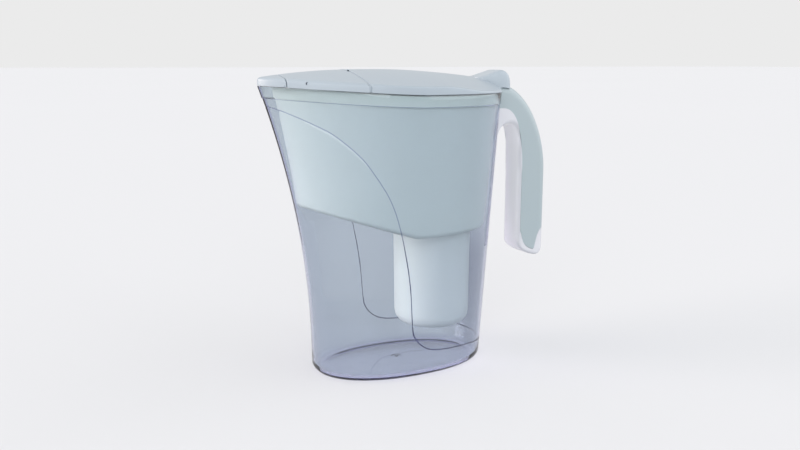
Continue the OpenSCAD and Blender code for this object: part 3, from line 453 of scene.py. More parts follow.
# The gate mark in the middle of the floor: a moat round a low dome, as radius and height
GATE_MARK, GATE_TOP = ((4.4, 0), (4, -0.3), (1.7, -0.3), (1.4, 0.1), (1, 0.2)), 0.2
RIM_EDGE_R, WALL_ROWS, INNER_ROWS = 0.2, 33, 25
PALE_FOOT_ROWS, PALE_FLOOR_ROWS = 6, 7


def smooth_line():
    """The line's table drawn as one smooth curve, x and z, by a moving average along its length."""
    steps, reach = 900, 30
    along = np.concatenate([[0], np.cumsum(np.hypot(np.diff(LINE_X), np.diff(LINE_Z)))])
    fine = np.linspace(0, along[-1], steps)
    window = np.hanning(2 * reach + 1)
    window /= window.sum()
    return [np.convolve(np.pad(np.interp(fine, along, v), reach, "reflect", reflect_type="odd"), window, "valid")
            for v in (LINE_X, LINE_Z)]


def line_height(turn, x_on_line, z_on_line):
    """Height at which each column of the wall meets the line, by halving the span that holds it."""
    low, high = (np.full_like(turn, z) for z in LINE_SPAN)
    for _ in range(40):
        mid = (low + high) / 2
        ahead = wall_ring(turn, mid)[:, 0] > np.interp(-mid, -z_on_line, x_on_line)
        low, high = np.where(ahead, low, mid), np.where(ahead, mid, high)
    return (low + high) / 2


def line_deepens(z):
    """0 where the line is shallow to 1 where it is deep."""
    return fade(z, *LINE_DEEPENS)


def wall_outside(turn, ledge):
    """Rings from the middle of the foot out and up to the ledge, and the rows that lie across the line."""
    crossing = line_height(turn, *smooth_line())
    here = wall_ring(turn, crossing)
    x, y, z = (np.roll(here, -1, 0) - np.roll(here, 1, 0)).T
    slope = z / np.hypot(x, y)
    half = np.minimum(LINE_W / 2 * np.sqrt(1 + slope ** 2), (ledge - crossing) * LINE_ROOM)
    rows = [np.array([0, 0, FOOT_DISH[0][1]])]
    rows += [wall_ring(turn, z, -FOOT_R - inset) for inset, z in FOOT_DISH]
    rows += [wall_ring(turn, FOOT_R * up, -FOOT_R * back) for up, back in fillet(0, 90, 9)]
    rows += [wall_ring(turn, lerp(FOOT_R, crossing - half, t)) for t in np.linspace(0, 1, WALL_ROWS)[1:]]
    first = len(rows) - 1
    deep = lerp(LINE_DEPTH_HIGH, LINE_DEPTH_LOW, line_deepens(crossing))
    rows += [wall_ring(turn, crossing + half * t, -deep * (1 - abs(t)) ** 0.5) for t in LINE_ROWS]
    last = len(rows) - 1
    rows += [wall_ring(turn, lerp(crossing + half, ledge, t)) for t in np.linspace(0, 1, WALL_ROWS)]
    return rows, range(first, last + 1)


def wall_rim(turn, rim, ledge):
    """Rings up the band's outside, over the rim's rounded edges and down to the ledge inside."""
    inside_out = BAND_OUT - BAND_WALL
    rows = [wall_ring(turn, ledge + BAND_OUT, BAND_OUT)]
    for out, way, span in ((BAND_OUT, -1, (0, 90)), (inside_out, 1, (90, 0))):
        rows += [wall_ring(turn, rim - RIM_EDGE_R * down, out + way * RIM_EDGE_R * over)
                 for over, down in fillet(*span, 5)]
    return rows + [wall_ring(turn, ledge, inside_out)]


def wall_inside(turn, ledge):
    """Rings from the ledge down inside and over the floor to the gate mark in its middle."""
    inner_r = FOOT_R - WALL / 2
    rows = [wall_ring(turn, lerp(ledge, FLOOR_T + inner_r, t), -WALL) for t in np.linspace(0, 1, INNER_ROWS)]
    rows += [wall_ring(turn, FLOOR_T + inner_r * up, -WALL - inner_r * back) for up, back in fillet(90, 0, 9)[1:]]
    circle = ring((np.cos(turn), np.sin(turn)), 0)
    rows += [circle * r + [0, 0, FLOOR_T + lift] for r, lift in GATE_MARK]
    return rows + [np.array([0, 0, FLOOR_T + GATE_TOP])]


def tint_wall(mesh):
    """Writes the wall's tint to each face's corners, from the face's kind and where it lies: painted shade on the
    line, the ledge, the prow's edge and the back low down, and painted light at the foot, floor and rim.
    """
    count = len(mesh.polygons)
    kinds, sides = np.zeros(count, np.int32), np.zeros(count, np.int32)
    mesh.polygons.foreach_get("material_index", kinds)
    mesh.polygons.foreach_get("loop_total", sides)
    centres = np.zeros(count * 3, np.float32)
    mesh.polygons.foreach_get("center", centres)
    x, y, z = (centres / MM).reshape(-1, 3).T
    tints = np.array([linear(tint) for tint in KIND_TINTS])[kinds]
    # Shares of painted shade: at the back low down, on the line where it is deep, and along the prow's edge
    rear_shade = (kinds == PLAIN) * fade(x, *REAR_SHADE_X) * fade(z, *REAR_SHADE_Z)
    deep = (kinds == LINE_SHADE) * (z < LEDGE_LOWEST) * line_deepens(z)
    prow = (x < 0) * ease(1 - np.abs(y) / PROW_EDGE_HALF) * fade(z, *PROW_EDGE_Z)
    for tint, share in ((REAR_SHADE_TINT, rear_shade), (DEEP_LINE_SHADE_TINT, deep), (PROW_SHADE_TINT, prow)):
        tints = lerp(tints, np.array(linear(tint)), share[:, None])
    corners = mesh.attributes.new("wall_tint", "FLOAT_COLOR", "CORNER")
    corners.data.foreach_set("color", np.repeat(tints, sides, 0).ravel())
    mesh.polygons.foreach_set("material_index", np.zeros_like(kinds))


def make_jug():
    turn = turns_round((0, 86, 2), (86, 114, 0.7), (114, 168, 1.5), (168, 180, 1))
    rim = rim_level(turn)
    ledge = rim - BAND_H
    outside, line_rows = wall_outside(turn, ledge)
    over_rim, inside = wall_rim(turn, rim, ledge), wall_inside(turn, ledge)
    rings = outside + over_rim + inside
    rim_rows = range(len(outside) + 1, len(outside) + len(over_rim) - 2)
    last = len(rings) - 1
    # The line's rows and the ledge's step take the darker tint of painted shade; the foot, rim and floor rows take
    # the paler tint of painted light
    kinds = {row: LINE_SHADE for row in [len(outside) - 1, *line_rows]}
    kinds.update({row: PALE_LIGHT for row in [*range(PALE_FOOT_ROWS), *rim_rows, *range(last - PALE_FLOOR_ROWS, last)]})
    made = piece("jug_wall", [rings], jug_styrene, "jug", "clear_plastic", ["jug_shell"], kinds=kinds)
    tint_wall(made.data)


# ---- Reservoir: hopper with a ramp to the filter cup's seat and a collar on the jug's ledge ----
HOLE_R = CUP_R + CUP_HOLE_GAP
SEAT_R = HOLE_R + CUP_FLANGE_W + COLLAR_GAP
RAMP_X = CUP_X - SEAT_R
POUR_CURVE = 1.1
COLLAR_INSET, COLLAR_EDGE = BAND_WALL - BAND_OUT + COLLAR_GAP, 0.4


def floor_at(x):
    return HOPPER_FLOOR_Z + RAMP_SLOPE * np.maximum(0, RAMP_X - x)


PROW_FLOOR_Z = floor_at(-front_len(HOPPER_FLOOR_Z + RAMP_SLOPE * FOOT_FRONT) + WALL + HOPPER_GAP)


def hopper_front(z):
    return (front_len(z) - WALL - HOPPER_GAP
            - POUR_GAP * power((z - PROW_FLOOR_Z) / (TIP_Z - PROW_FLOOR_Z), POUR_CURVE))


def hopper_ring(turn, z, inset):
    draft = HOPPER_GAP + HOPPER_DRAFT * (RIM_H - z) / (RIM_H - HOPPER_FLOOR_Z)
    return section(turn, z, hopper_front(z) - inset, rear_len(z) - WALL - draft - inset,
                   half_w(z) - WALL - draft - inset)


def collar_ring(turn, z, inset):
    return section(turn, z, hopper_front(z) + WALL - COLLAR_INSET - inset, rear_len(z) - COLLAR_INSET - inset,
                   half_w(z) - COLLAR_INSET - inset)


def make_reservoir():
    turn = turns_round((0, 180, 1.875))
    rim = rim_level(turn)
    ledge = rim - BAND_H
    floor = floor_at(hopper_ring(turn, np.full_like(turn, HOPPER_FLOOR_Z + HOPPER_R), 0)[:, 0])

    def seat(r, lift):
        return ring((CUP_X + r * np.cos(turn), r * np.sin(turn)), HOPPER_FLOOR_Z + lift)

    def side(r, lift, inset, low, high, collar_in, rim_edge):
        """Rings from the cup's hole over the floor, up the wall and the collar. lift raises the floor, low and high
        move the wall's ends."""
        edge = [hopper_ring(turn, floor + lift + r * up, inset + r * back) for up, back in fillet(0, 90, 9)[:-1]]
        rows = [seat(HOLE_R, lift)]
        for t in np.linspace(0, 1, 10)[:-1]:
            p = lerp(seat(SEAT_R, lift), edge[0], t)
            p[:, 2] = floor_at(p[:, 0]) + lift
            rows.append(p)
        rows += edge
        rows += [hopper_ring(turn, lerp(floor + low, ledge + high, t), inset) for t in np.linspace(0, 1, 21)]
        return rows + [collar_ring(turn, ledge + high, collar_in),
                       collar_ring(turn, rim - COLLAR_TOP_DROP - COLLAR_EDGE, collar_in),
                       collar_ring(turn, rim - COLLAR_TOP_DROP, collar_in + rim_edge)]

    outside = side(HOPPER_R, -HOPPER_FLOOR_T, 0, HOPPER_R - HOPPER_FLOOR_T, SEAT_GAP, 0, COLLAR_EDGE)
    inner_r = HOPPER_R - HOPPER_WALL
    inside = side(inner_r, 0, HOPPER_WALL, inner_r, SEAT_GAP + COLLAR_T, COLLAR_T, -COLLAR_EDGE)
    piece("reservoir_hopper", [outside + inside[::-1]], hopper_pp, "reservoir", "hopper_plastic", ["reservoir"],
          loop=True)


# ---- Lid: one dome over the rim, split across into lid, flip lid and spout flap ----
DOME_POWER, CROWN_FRONT, CROWN_REAR = 1.35, -30, -15
CROWN_Z = RIM_H + CROWN_RISE
REAR_RIM_X = rear_len(RIM_H) + BAND_OUT
SKIRT_FADE = (14, 66)
REAR_DROP, REAR_RUN, NOSE_CURVE, REAR_CURVE, REAR_ROUND = 6.6, 90, 2.2, 1.6, 14
EDGE_TURN = arc(0, 180, 180 * 8 + 1)
EDGE_XY = wall_ring(EDGE_TURN, rim_level(EDGE_TURN), BAND_OUT)[:, :2]


def normals(line):
    """Unit normals along a line of points, to the left of its run."""
    run = np.gradient(line, axis=0)
    return np.stack([-run[:, 1], run[:, 0]], -1) / np.linalg.norm(run, axis=1)[:, None]


def edge_line(inset):
    """The dome's edge, moved in, as points from the back round one side to the spout's tip."""
    line = EDGE_XY + normals(EDGE_XY) * inset
    line[:, 1] = np.maximum(line[:, 1], 0)
    return line


def half_at(x, inset=0):
    """Half the dome's width at x."""
    line = edge_line(inset)
    return np.interp(x, line[::-1, 0], line[::-1, 1])


def skirt_top(x):
    """Height where the skirt ends and the dome begins: the skirt is lower behind the hinge."""
    return rim_z(x) + SEAT_GAP + lerp(SKIRT_H, REAR_SKIRT_H, fade(x, *SKIRT_FADE))


def crest(x):
    """Height of the dome along its middle."""
    nose = (CROWN_Z - skirt_top(-TIP_X)) * power((CROWN_FRONT - x) / (TIP_X + CROWN_FRONT), NOSE_CURVE)
    return CROWN_Z - np.where(x < CROWN_FRONT, nose, REAR_DROP * power((x - CROWN_REAR) / REAR_RUN, REAR_CURVE))


EDGE_AT = edge_line(0)[::-1]
EDGE_RUN = np.abs(np.gradient(EDGE_AT, axis=0)).T
# How far the edge runs along x at each point: 1 along the sides, 0 straight across
EDGE_LEAN = EDGE_RUN[0] / np.hypot(*EDGE_RUN)
# The dome's edge is softened over this width and height, more on the flip lid and flap than behind the hinge
SOFT_FRONT, SOFT_REAR, SOFT_FADE = (3.5, 2.1), (1.5, 0.8), (-75, -15)


def dome(x, y):
    """Height of the dome's upper face."""
    top = skirt_top(x)
    rise = np.maximum(0, crest(x) - top) * np.sqrt(1 - power(np.minimum(1, x / REAR_RIM_X), REAR_ROUND))
    half = np.interp(x, EDGE_AT[:, 0], EDGE_AT[:, 1])
    width, height = (lerp(front, back, fade(x, *SOFT_FADE)) for front, back in zip(SOFT_FRONT, SOFT_REAR))
    into = (half - np.abs(y)) * np.interp(x, EDGE_AT[:, 0], EDGE_LEAN)
    near = 1 - np.clip(into / width, 0, 1)
    soft = height * (1 - np.sqrt(1 - near ** 2))
    return top + rise * (1 - power(np.minimum(1, np.abs(y) / np.maximum(1, half)), DOME_POWER)) - soft


HINGE_SUNK, GROOVE_SHIFT, NOTCH_GAP, KNUCKLE_EDGE = 1.2, 0.1, 0.45, 0.25
HINGE_X = -HINGE_AHEAD
HINGE_Z = crest(HINGE_X) - HINGE_SUNK
KNUCKLE_END = KNUCKLE_HALF + KNUCKLE_GAP + KNUCKLE_LEN
BACK_CUT_X = HINGE_X + GROOVE_W / 2 + GROOVE_SHIFT
FLIP_CUT_X = HINGE_X - GROOVE_W / 2 + GROOVE_SHIFT
NOTCH_X = BARREL_R + NOTCH_GAP
PIVOT_X = -PIVOT_AHEAD
PIVOT_Z = rim_z(PIVOT_X) + PIVOT_RISE
BACK_FLANGE_H, FRONT_FLANGE_H = 7, 2.4
SIDE_POINTS = 90
SKIRT_EDGE, SKIRT_LEAST, DOME_EDGE, WEB_REACH = 0.12, 0.2, 0.4, 2
# The ledges that back the slits: drop, thickness, and how far under one side and short of the other
LEDGE_DROP, LEDGE_T, LEDGE_UNDER, LEDGE_SHORT = 0.6, 0.8, 0.5, 0.15
# The flap's arms, and the nubs that hold it in the flip lid
ARM_BACK, ARM_H, ARM_EDGE, PIVOT_WALL = 9, 2, 0.3, 1.5
NUB_R, NUB_BACK = 0.8, 1.5
# Kinds of points on an outline: the outer edge, the cut at the hinge and the cut at the flap's seam
OUTER_EDGE, HINGE_CUT, SEAM_CUT = range(3)


def cut_points(x_plain, notches, inset, into, count=14):
    """Half of a cut across the dome, from its edge to the middle; into is the side that the solid lies on.
    notches are (from y, to y, x) where the edge steps back round a hinge knuckle."""
    half = half_at(x_plain + into * inset, inset)
    stops = [(half, x_plain)]
    for far, near, x in notches:
        stops += [(far + inset, x_plain), (far + inset, x), (max(0, near - inset), x)]
        if near:
            stops.append((near - inset, x_plain))
    if stops[-1][0] > 0:
        stops.append((0, stops[-1][1]))
    points = []
    for (y0, x0), (y1, x1) in zip(stops, stops[1:]):
        n = count if y0 != y1 else 1
        points += [(lerp(x0, x1, k / n) + into * inset, lerp(y0, y1, k / n)) for k in range(n)]
    return points + [(stops[-1][1] + into * inset, 0)]


def dome_outline(x_from, x_to, back, front, inset):
    """A dome piece's outline, moved in, as x, y and the kind of each point. back and front are None at the end of
    the lid, "plain" at the flap's seam, or the notches of the cut at the hinge."""
    line = edge_line(inset)
    index = np.arange(len(line))
    low = x_from + inset if front is not None else -TIP_X
    high = x_to - inset if back is not None else REAR_RIM_X + 1
    ends = np.interp([x_to, x_from], EDGE_AT[:, 0], index[::-1])
    picks = np.linspace(ends[0], ends[1], SIDE_POINTS)
    x, y = np.interp(picks, index, line[:, 0]), np.interp(picks, index, line[:, 1])
    for limit, over in ((low, x < low), (high, x > high)):
        y = np.where(over, half_at(limit, inset), y)
        x = np.where(over, limit, x)

    def cut(at, notches, into):
        kind, notches = (SEAM_CUT, []) if notches == "plain" else (HINGE_CUT, notches)
        return [(px, py, kind) for px, py in cut_points(at, notches, inset, into)]

    half = [(px, py, OUTER_EDGE) for px, py in zip(x, y)]
    if front is not None:
        half += cut(x_from, front, 1)
    if back is not None:
        half = cut(x_to, back, -1)[::-1] + half
    half = np.array(half, float)
    other = half[::-1] * [1, -1, 1]
    inner = other[1:-1] if np.abs(other[[0, -1], 1]).max() < 1e-9 else other
    return np.concatenate([half, inner])


def dome_rings(shape, mid, lip_in=0):
    """Rings from under the dome's middle out, down inside the skirt, up outside it and back over the dome."""
    outline = dome_outline(*shape, 0)
    over = dome(*outline[:, :2].T)
    seam = rim_z(outline[:, 0]) + SEAT_GAP
    flange = np.where(outline[:, 2] == HINGE_CUT, BACK_FLANGE_H, FRONT_FLANGE_H)
    low = np.where(outline[:, 2] == OUTER_EDGE, seam, np.maximum(seam, over - flange))
    within = dome_outline(*shape, SOFT_FRONT[0])

    def shrunk(t, drop):
        x, y = lerp(mid, within[:, 0], t), within[:, 1] * t
        return ring((x, y), dome(x, y) - drop)

    def sheltered(inset):
        xy = dome_outline(*shape, inset)[:, :2].T
        return ring(xy, np.maximum(dome(*xy) - LID_T, low + SKIRT_LEAST))

    def hung(inset, drop=0):
        hangs = (outline[:, 2] == OUTER_EDGE) & (outline[:, 0] > 0)
        return ring(dome_outline(*shape, inset)[:, :2].T, low - np.where(hangs, drop, 0))

    middle = np.array([[mid, 0, dome(mid, 0)]])
    rings = [middle - [0, 0, LID_T]] + [shrunk(t, LID_T) for t in (0.15, 0.3, 0.45, 0.6, 0.7, 0.8)]
    if lip_in:
        rings += [sheltered(lip_in + LIP_T), hung(lip_in + LIP_T, LIP_H), hung(lip_in, LIP_H), sheltered(lip_in)]
    rings += [sheltered(SKIRT_T), hung(SKIRT_T), hung(SKIRT_EDGE), ring(outline[:, :2].T, low + SKIRT_EDGE)]
    edge = [(inset, DOME_EDGE * drop) for inset, drop in fillet(0, 90, 7)]
    for inset, drop in edge + [(1.6, 0), (2.4, 0), (SOFT_FRONT[0], 0)]:
        xy = dome_outline(*shape, inset)[:, :2].T
        rings.append(ring(xy, np.maximum(dome(*xy) - drop, low + SKIRT_EDGE)))
    rings += [shrunk(t, 0) for t in (0.93, 0.86, 0.78, 0.7, 0.6, 0.5, 0.4, 0.3, 0.2, 0.1)]
    return rings + [middle]


def underlap(x_from, x_to, y_from, side):
    """A ledge just under the dome that backs a slit, from y_from out to the skirt and down behind it."""
    mid = (x_from + x_to) / 2
    half = half_at(mid)
    y = y_from + (half - y_from) * np.sin(arc(0, 90, 30))
    z = dome(np.full_like(y, mid), y)
    seam = rim_z(mid) + 2 * SEAT_GAP
    path = np.stack([np.append(y, [half, half]), np.append(z, [(z[-1] + seam) / 2, seam])], -1)
    out = normals(path)
    near, far = path - out * LEDGE_DROP, path - out * (LEDGE_DROP + LEDGE_T)
    return capped([np.array([[x, side * p[0], p[1]] for x, p in ((x_from, a), (x_to, a), (x_to, b), (x_from, b))])
                   for a, b in zip(near, far)])


def barrel(x, z, r, y_from, y_to, web_x=None):
    """A hinge knuckle: a barrel along y whose web runs out tangent to x = web_x, with eased ends."""
    turn = arc(0, 360, 33)[:-1]
    c, s = np.cos(turn), np.sin(turn)
    rings = []
    for y, shrink in ((y_from, KNUCKLE_EDGE), (y_from + KNUCKLE_EDGE, 0), (y_to - KNUCKLE_EDGE, 0),
                      (y_to, KNUCKLE_EDGE)):
        px, pz = x + (r - shrink) * c, z + (r - shrink) * s
        if web_x is not None:
            towards = c * np.sign(web_x - x) > 0
            low = towards & (s <= 0)
            px, pz = np.where(low, lerp(x, web_x, np.abs(c)), px), np.where(low, z - (r - shrink), pz)
            level = towards & (np.abs(s) < 0.2)
            px, pz = np.where(level, web_x, px), np.where(level & (s >= -0.01), z, pz)
        rings.append(ring((px, y), pz))
    return capped(rings)


def flap_arm(side):
    """One of the flap's two arms: a bar back to the pivot and a ring round it."""
    front_x = ARM_BACK - TIP_X
    z = rim_z(front_x) + 2 * SEAT_GAP
    corners = np.array([[0, 0], [1, 0], [1, 1], [0, 1]])
    bar = []
    for x, shrink in ((front_x, ARM_EDGE), (front_x + ARM_EDGE, 0), (PIVOT_X - ARM_EDGE, 0), (PIVOT_X, ARM_EDGE)):
        y = ARM_HALF + shrink + corners[:, 0] * (ARM_T - 2 * shrink)
        bar.append(ring((x, side * y), z + shrink + corners[:, 1] * (ARM_H - 2 * shrink)))
    low, high = sorted((side * ARM_HALF, side * (ARM_HALF + ARM_T)))
    return [capped(bar), barrel(PIVOT_X, PIVOT_Z, PIVOT_R + PIVOT_WALL, low, high)]


def flap_nub(side, cut):
    """A ball on the flap's side edge, just ahead of its seam."""
    x = cut - NUB_BACK
    y, z = side * half_at(x), rim_z(x) + SEAT_GAP + NUB_R
    turn = arc(0, 360, 25)[:-1]
    ball = [ring((x + NUB_R * math.sin(q) * np.cos(turn), y + NUB_R * math.sin(q) * np.sin(turn)),
                 z - NUB_R * math.cos(q)) for q in arc(20, 160, 8)]
    return [np.array([[x, y, z - NUB_R]]), *ball, np.array([[x, y, z + NUB_R]])]


def make_lids():
    notch_half = KNUCKLE_HALF + KNUCKLE_GAP
    collar_in = COLLAR_INSET + COLLAR_T + BAND_OUT + 2 * COLLAR_GAP
    lid = (BACK_CUT_X, REAR_RIM_X, None, [(notch_half, 0, HINGE_X + NOTCH_X)])
    skins = [dome_rings(lid, REAR_RIM_X / 5, collar_in)]
    skins += [barrel(HINGE_X, HINGE_Z, BARREL_R, low, high, BACK_CUT_X + WEB_REACH)
              for low, high in ((notch_half, KNUCKLE_END), (-KNUCKLE_END, -notch_half))]
    skins += [underlap(FLIP_CUT_X + LEDGE_SHORT, BACK_CUT_X + LEDGE_UNDER, KNUCKLE_END + 2 * KNUCKLE_GAP, side)
              for side in (1, -1)]
    piece("lid_dome", skins, lid_abs, "lid", "lid_plastic", ["lid_shell"])

    flip = (-FLAP_AHEAD, FLIP_CUT_X, [(KNUCKLE_END + KNUCKLE_GAP, KNUCKLE_HALF, HINGE_X - NOTCH_X)], "plain")
    skins = [dome_rings(flip, (HINGE_X - FLAP_AHEAD) / 2),
             barrel(HINGE_X, HINGE_Z, BARREL_R, -KNUCKLE_HALF, KNUCKLE_HALF, FLIP_CUT_X - WEB_REACH)]
    skins += [underlap(-FLAP_AHEAD - FLAP_GAP / 2, LEDGE_UNDER - FLAP_AHEAD, 0, side) for side in (1, -1)]
    piece("flip_lid_dome", skins, lid_abs, "flip_lid", "lid_plastic", ["flip_lid"])

    cut = -FLAP_AHEAD - FLAP_GAP
    skins = [dome_rings((-TIP_X, cut, "plain", None), lerp(cut, -TIP_X, 0.4))]
    for side in (1, -1):
        skins += [*flap_arm(side), flap_nub(side, cut)]
    piece("spout_flap_dome", skins, lid_abs, "spout_flap", "lid_plastic", ["spout_flap"])


# ---- Thumb rest: a ramp, a ridge, and a blunt back that reaches out over the handle's arm ----
RIDGE_X = np.array([THUMB_FROM - 1.6, 81, 97, 99.5, 102, 104.5, 107.5, 110, 111.6, 112.2])
RIDGE_Z = RIM_H + np.array([13.6, 14.3, 19.1, 19.5, 19.4, 18.6, 16.2, 12.8, 9.8, 7.8])
# Exponents of its plan and section, how far it sinks into the lid and clears the arm, and where it meets that
RIDGE_EDGE, RIDGE_SQUARE, RIDGE_ACROSS, THUMB_SUNK, THUMB_GAP, MEETS_ARM_X = 5.5, 0.5, 0.6, 0.6, 0.15, 90


def arm_top(x, y):
    """The top of the handle's arm, with its rounded sides."""
    along = np.clip((x - ARM_X) / (HANDLE_X - ARM_X), 0, 1)
    z = lerp(ELBOW_Z, ARM_TOP_Z, power(1 - power(along, 2 / ARM_BOW), ARM_BOW / 2))
    side = np.clip(np.abs(y) - (HANDLE_HALF_W - OUTER_EDGE_R), 0, OUTER_EDGE_R * 0.8)
    return z - OUTER_EDGE_R + np.sqrt(OUTER_EDGE_R ** 2 - side ** 2)


def make_thumb_rest():
    x_from, x_to = RIDGE_X[0], RIDGE_X[-1]
    c = np.cos(arc(0, 180, 41))
    across = np.sign(c) * power(np.abs(c), RIDGE_ACROSS)
    stations = x_from + (x_to - x_from) * (1 - np.cos(arc(0, 180, 49))) / 2
    stations = np.sort(np.concatenate([stations[1:-1], [REAR_RIM_X - 0.1, REAR_RIM_X]]))
    rings = []
    for x in stations:
        share = abs(2 * (x - x_from) / (x_to - x_from) - 1)
        half = THUMB_HALF_W * (1 - share ** RIDGE_EDGE) ** RIDGE_SQUARE
        y = half * across
        over_lid = dome(np.full_like(y, min(x, REAR_RIM_X - 0.5)), y) - THUMB_SUNK
        over_arm = arm_top(x, y) + THUMB_GAP
        low = over_lid if x < REAR_RIM_X else over_arm
        foot = lerp(over_lid, over_arm, fade(x, MEETS_ARM_X, REAR_RIM_X))
        top = np.interp(x, RIDGE_X, RIDGE_Z)
        over = np.maximum(low + 0.05, foot + (top - foot) * power(1 - np.abs(across) ** 7, 1 / 3))
        rings.append(np.concatenate([ring((x, y), over), ring((x, y), low)[::-1]]))
    piece("thumb_rest_hump", [capped(rings)], lid_abs, "lid", "lid_plastic", ["thumb_rest"])


# ---- Handle: a cover round the outside of the arm and upright, and a grip inside ----
ARCH_DROP, ARCH_AHEAD, ARCH_LEG, SEAM_BOW, ARCH_BOW = 14.7, 11, 13.8, 0.8, 0.57
SEAM_X, SEAM_Z = INNER_X + LINING_T, ARM_TOP_Z - ARM_DEPTH
ARCH_Z = SEAM_Z - ARCH_DROP
ARCH_X = INNER_X - ARCH_AHEAD
TIP_EDGE_R, TIP_EDGE_H, COVER_LEVEL = 4, 2.8, 1.5
# The seam's angle for each angle of the grip's inner curve, in degrees, on the arch and on its root
ARCH_TO_SEAM = ([0, 12, 24, 37, 50, 64, 78, 90], [0, 10, 20, 30, 40, 50, 60, 70])
ROOT_TO_SEAM = ([8, 45, 90], [90, 80, 70])
# Each curve of the handle: the x it bows between, its top and its exponent
OUTER = ARM_X, HANDLE_X, ARM_TOP_Z, ARM_BOW
SEAM = ARM_X, SEAM_X, SEAM_Z, SEAM_BOW
INNER = ARCH_X, INNER_X, ARCH_Z, ARCH_BOW


def bowed(degrees, x_from, x_to, top, bow):
    """A point of one of the handle's curves, from the elbow at 0 degrees up to its top at 90."""
    q = math.radians(degrees)
    return np.array([lerp(x_from, x_to, power(math.cos(q), bow)), lerp(ELBOW_Z, top, power(math.sin(q), bow))])


# The tip's lower side and the end of the cover over it, as shares of the depth and heights over the low end
TIP_UNDER = ([0, 0.05, 0.12, 0.22, 0.34, 0.48, 0.62, 0.72, 0.8, 0.87, 0.93, 0.97, 1],
             [14, 10.5, 7.8, 5.4, 3.4, 1.6, 0.4, 0, 0.5, 2, 4.6, 8, 12])
COVER_END = ([0, 0.1, 0.14, 0.17, 0.22, 0.3, 0.38, 0.5, 0.58, 0.62, 0.65, 0.7, 0.76, 0.85, 1],
             [24, 24, 21.5, 16.5, 13.2, 10.2, 8.4, 6.6, 5.6, 7.5, 12, 18, 22.5, 25.5, 26])


def tip_height(x, table):
    return HANDLE_LOW_Z + np.interp((x - INNER_X) / HANDLE_DEPTH, *table)


def handle_section(inset):
    """The upright's plan: small corners inside the grip, larger ones outside."""
    points = [(x0 + into * (r - (r - inset) * math.cos(q)), HANDLE_HALF_W - r + (r - inset) * math.sin(q))
              for x0, into, r in ((INNER_X, 1, INNER_EDGE_R), (HANDLE_X, -1, OUTER_EDGE_R))
              for q in arc(0, 90, 9)[::into]]
    straight = np.linspace(points[8][0], points[9][0], 14)[1:-1]
    points = points[:9] + [(x, HANDLE_HALF_W - inset) for x in straight] + points[9:]
    return np.array(points + [(x, -y) for x, y in reversed(points)])


def back_at(y, z):
    """The outside of the jug's back wall at y off the middle and height z, with the seat's gap."""
    r = rear_len(z) + np.where(z > RIM_H - BAND_H - BAND_OUT, BAND_OUT, 0) + SEAT_GAP
    share = power(np.abs(y) / half_w(z), 1 / ROUND)
    return r * power(np.cos(np.arcsin(share)), ROUND)


def corner(depth, t=0):
    """Half the cover's section, t inside its outside, as depth and half-width from the open side to the face."""
    r = OUTER_EDGE_R
    return [(d, HANDLE_HALF_W - t) for d in np.linspace(depth, r, 16)] + [
        (r - (r - t) * math.sin(q), HANDLE_HALF_W - r + (r - t) * math.cos(q)) for q in arc(0, 90, 11)[1:]]


def placed(face, back, profile):
    """A profile of depth and y, laid from face to back."""
    along = (back - face) / np.linalg.norm(back - face)
    return np.array([[*(face + along * d), y] for d, y in profile])[:, [0, 2, 1]]


def on_jug(points):
    """Points moved along x onto the jug's back wall."""
    points = points.copy()
    points[:, 0] = back_at(points[:, 1], points[:, 2])
    return points


def both(side):
    """Half a profile with its mirror image, as one open line."""
    return [(d, -y) for d, y in side] + [(d, y) for d, y in reversed(side)]


def make_cover():
    def cover_ring(face, back):
        h = np.linalg.norm(back - face)
        return placed(face, back, both(corner(h)) + both(corner(h, COVER_T))[::-1])

    arm = [cover_ring(bowed(q, *OUTER), bowed(q, *SEAM)) for q in np.linspace(90, 0, 46)]
    level = HANDLE_LOW_Z + max(COVER_END[1]) + COVER_LEVEL
    upright = [cover_ring(np.array([HANDLE_X, z]), np.array([SEAM_X, z]))
               for z in np.linspace(ELBOW_Z, level, 12)[1:]]
    ends = []
    for t in (0.3, 0.6, 0.85, 1):
        end = upright[-1].copy()
        end[:, 2] = lerp(level, tip_height(end[:, 0], COVER_END) + SEAT_GAP, t)
        ends.append(end)
    channel("handle_cover_shell", [on_jug(arm[0]), *arm, *upright, *ends], cover_abs, "jug", "handle_plastic",
            ["handle_cover"])


def grip_ring(face, back):
    """The grip's section between its face and the seam behind it, with rounded corners at the face."""
    depth = np.linalg.norm(back - face)
    r = INNER_EDGE_R
    turn = math.acos(max(0, (r - depth) / r))
    curve = [(r - r * math.cos(q), HANDLE_HALF_W - r + r * math.sin(q)) for q in np.linspace(turn, 0, 11)]
    return placed(face, back, both([(depth, curve[0][1])] + curve))


def grip_lining():
    """Rings from the jug's wall under the arm, round the arch and down the inside of the upright."""
    rings = []
    back_x = back_at(0, ARCH_Z)
    for q in np.linspace(8, 90, 16)[:-1]:
        c, s = math.cos(math.radians(q)), math.sin(math.radians(q))
        face = np.array([lerp(ARCH_X, back_x, c), ARCH_Z - ARCH_LEG * (1 - s)])
        rings.append(grip_ring(face, bowed(np.interp(q, *ROOT_TO_SEAM), *SEAM)))
    for q in np.linspace(90, 0, 40):
        rings.append(grip_ring(bowed(q, *INNER), bowed(np.interp(q, *ARCH_TO_SEAM), *SEAM)))
    for z in np.linspace(ELBOW_Z, HANDLE_LOW_Z + COVER_END[1][0] - 0.05, 12)[1:]:
        rings.append(grip_ring(np.array([INNER_X, z]), np.array([SEAM_X, z])))
    start = on_jug(rings[0])
    root = [on_jug(lerp(start.mean(0), start, t)) for t in (0.05, 0.4, 0.75)]
    return capped([*root, start, *rings])


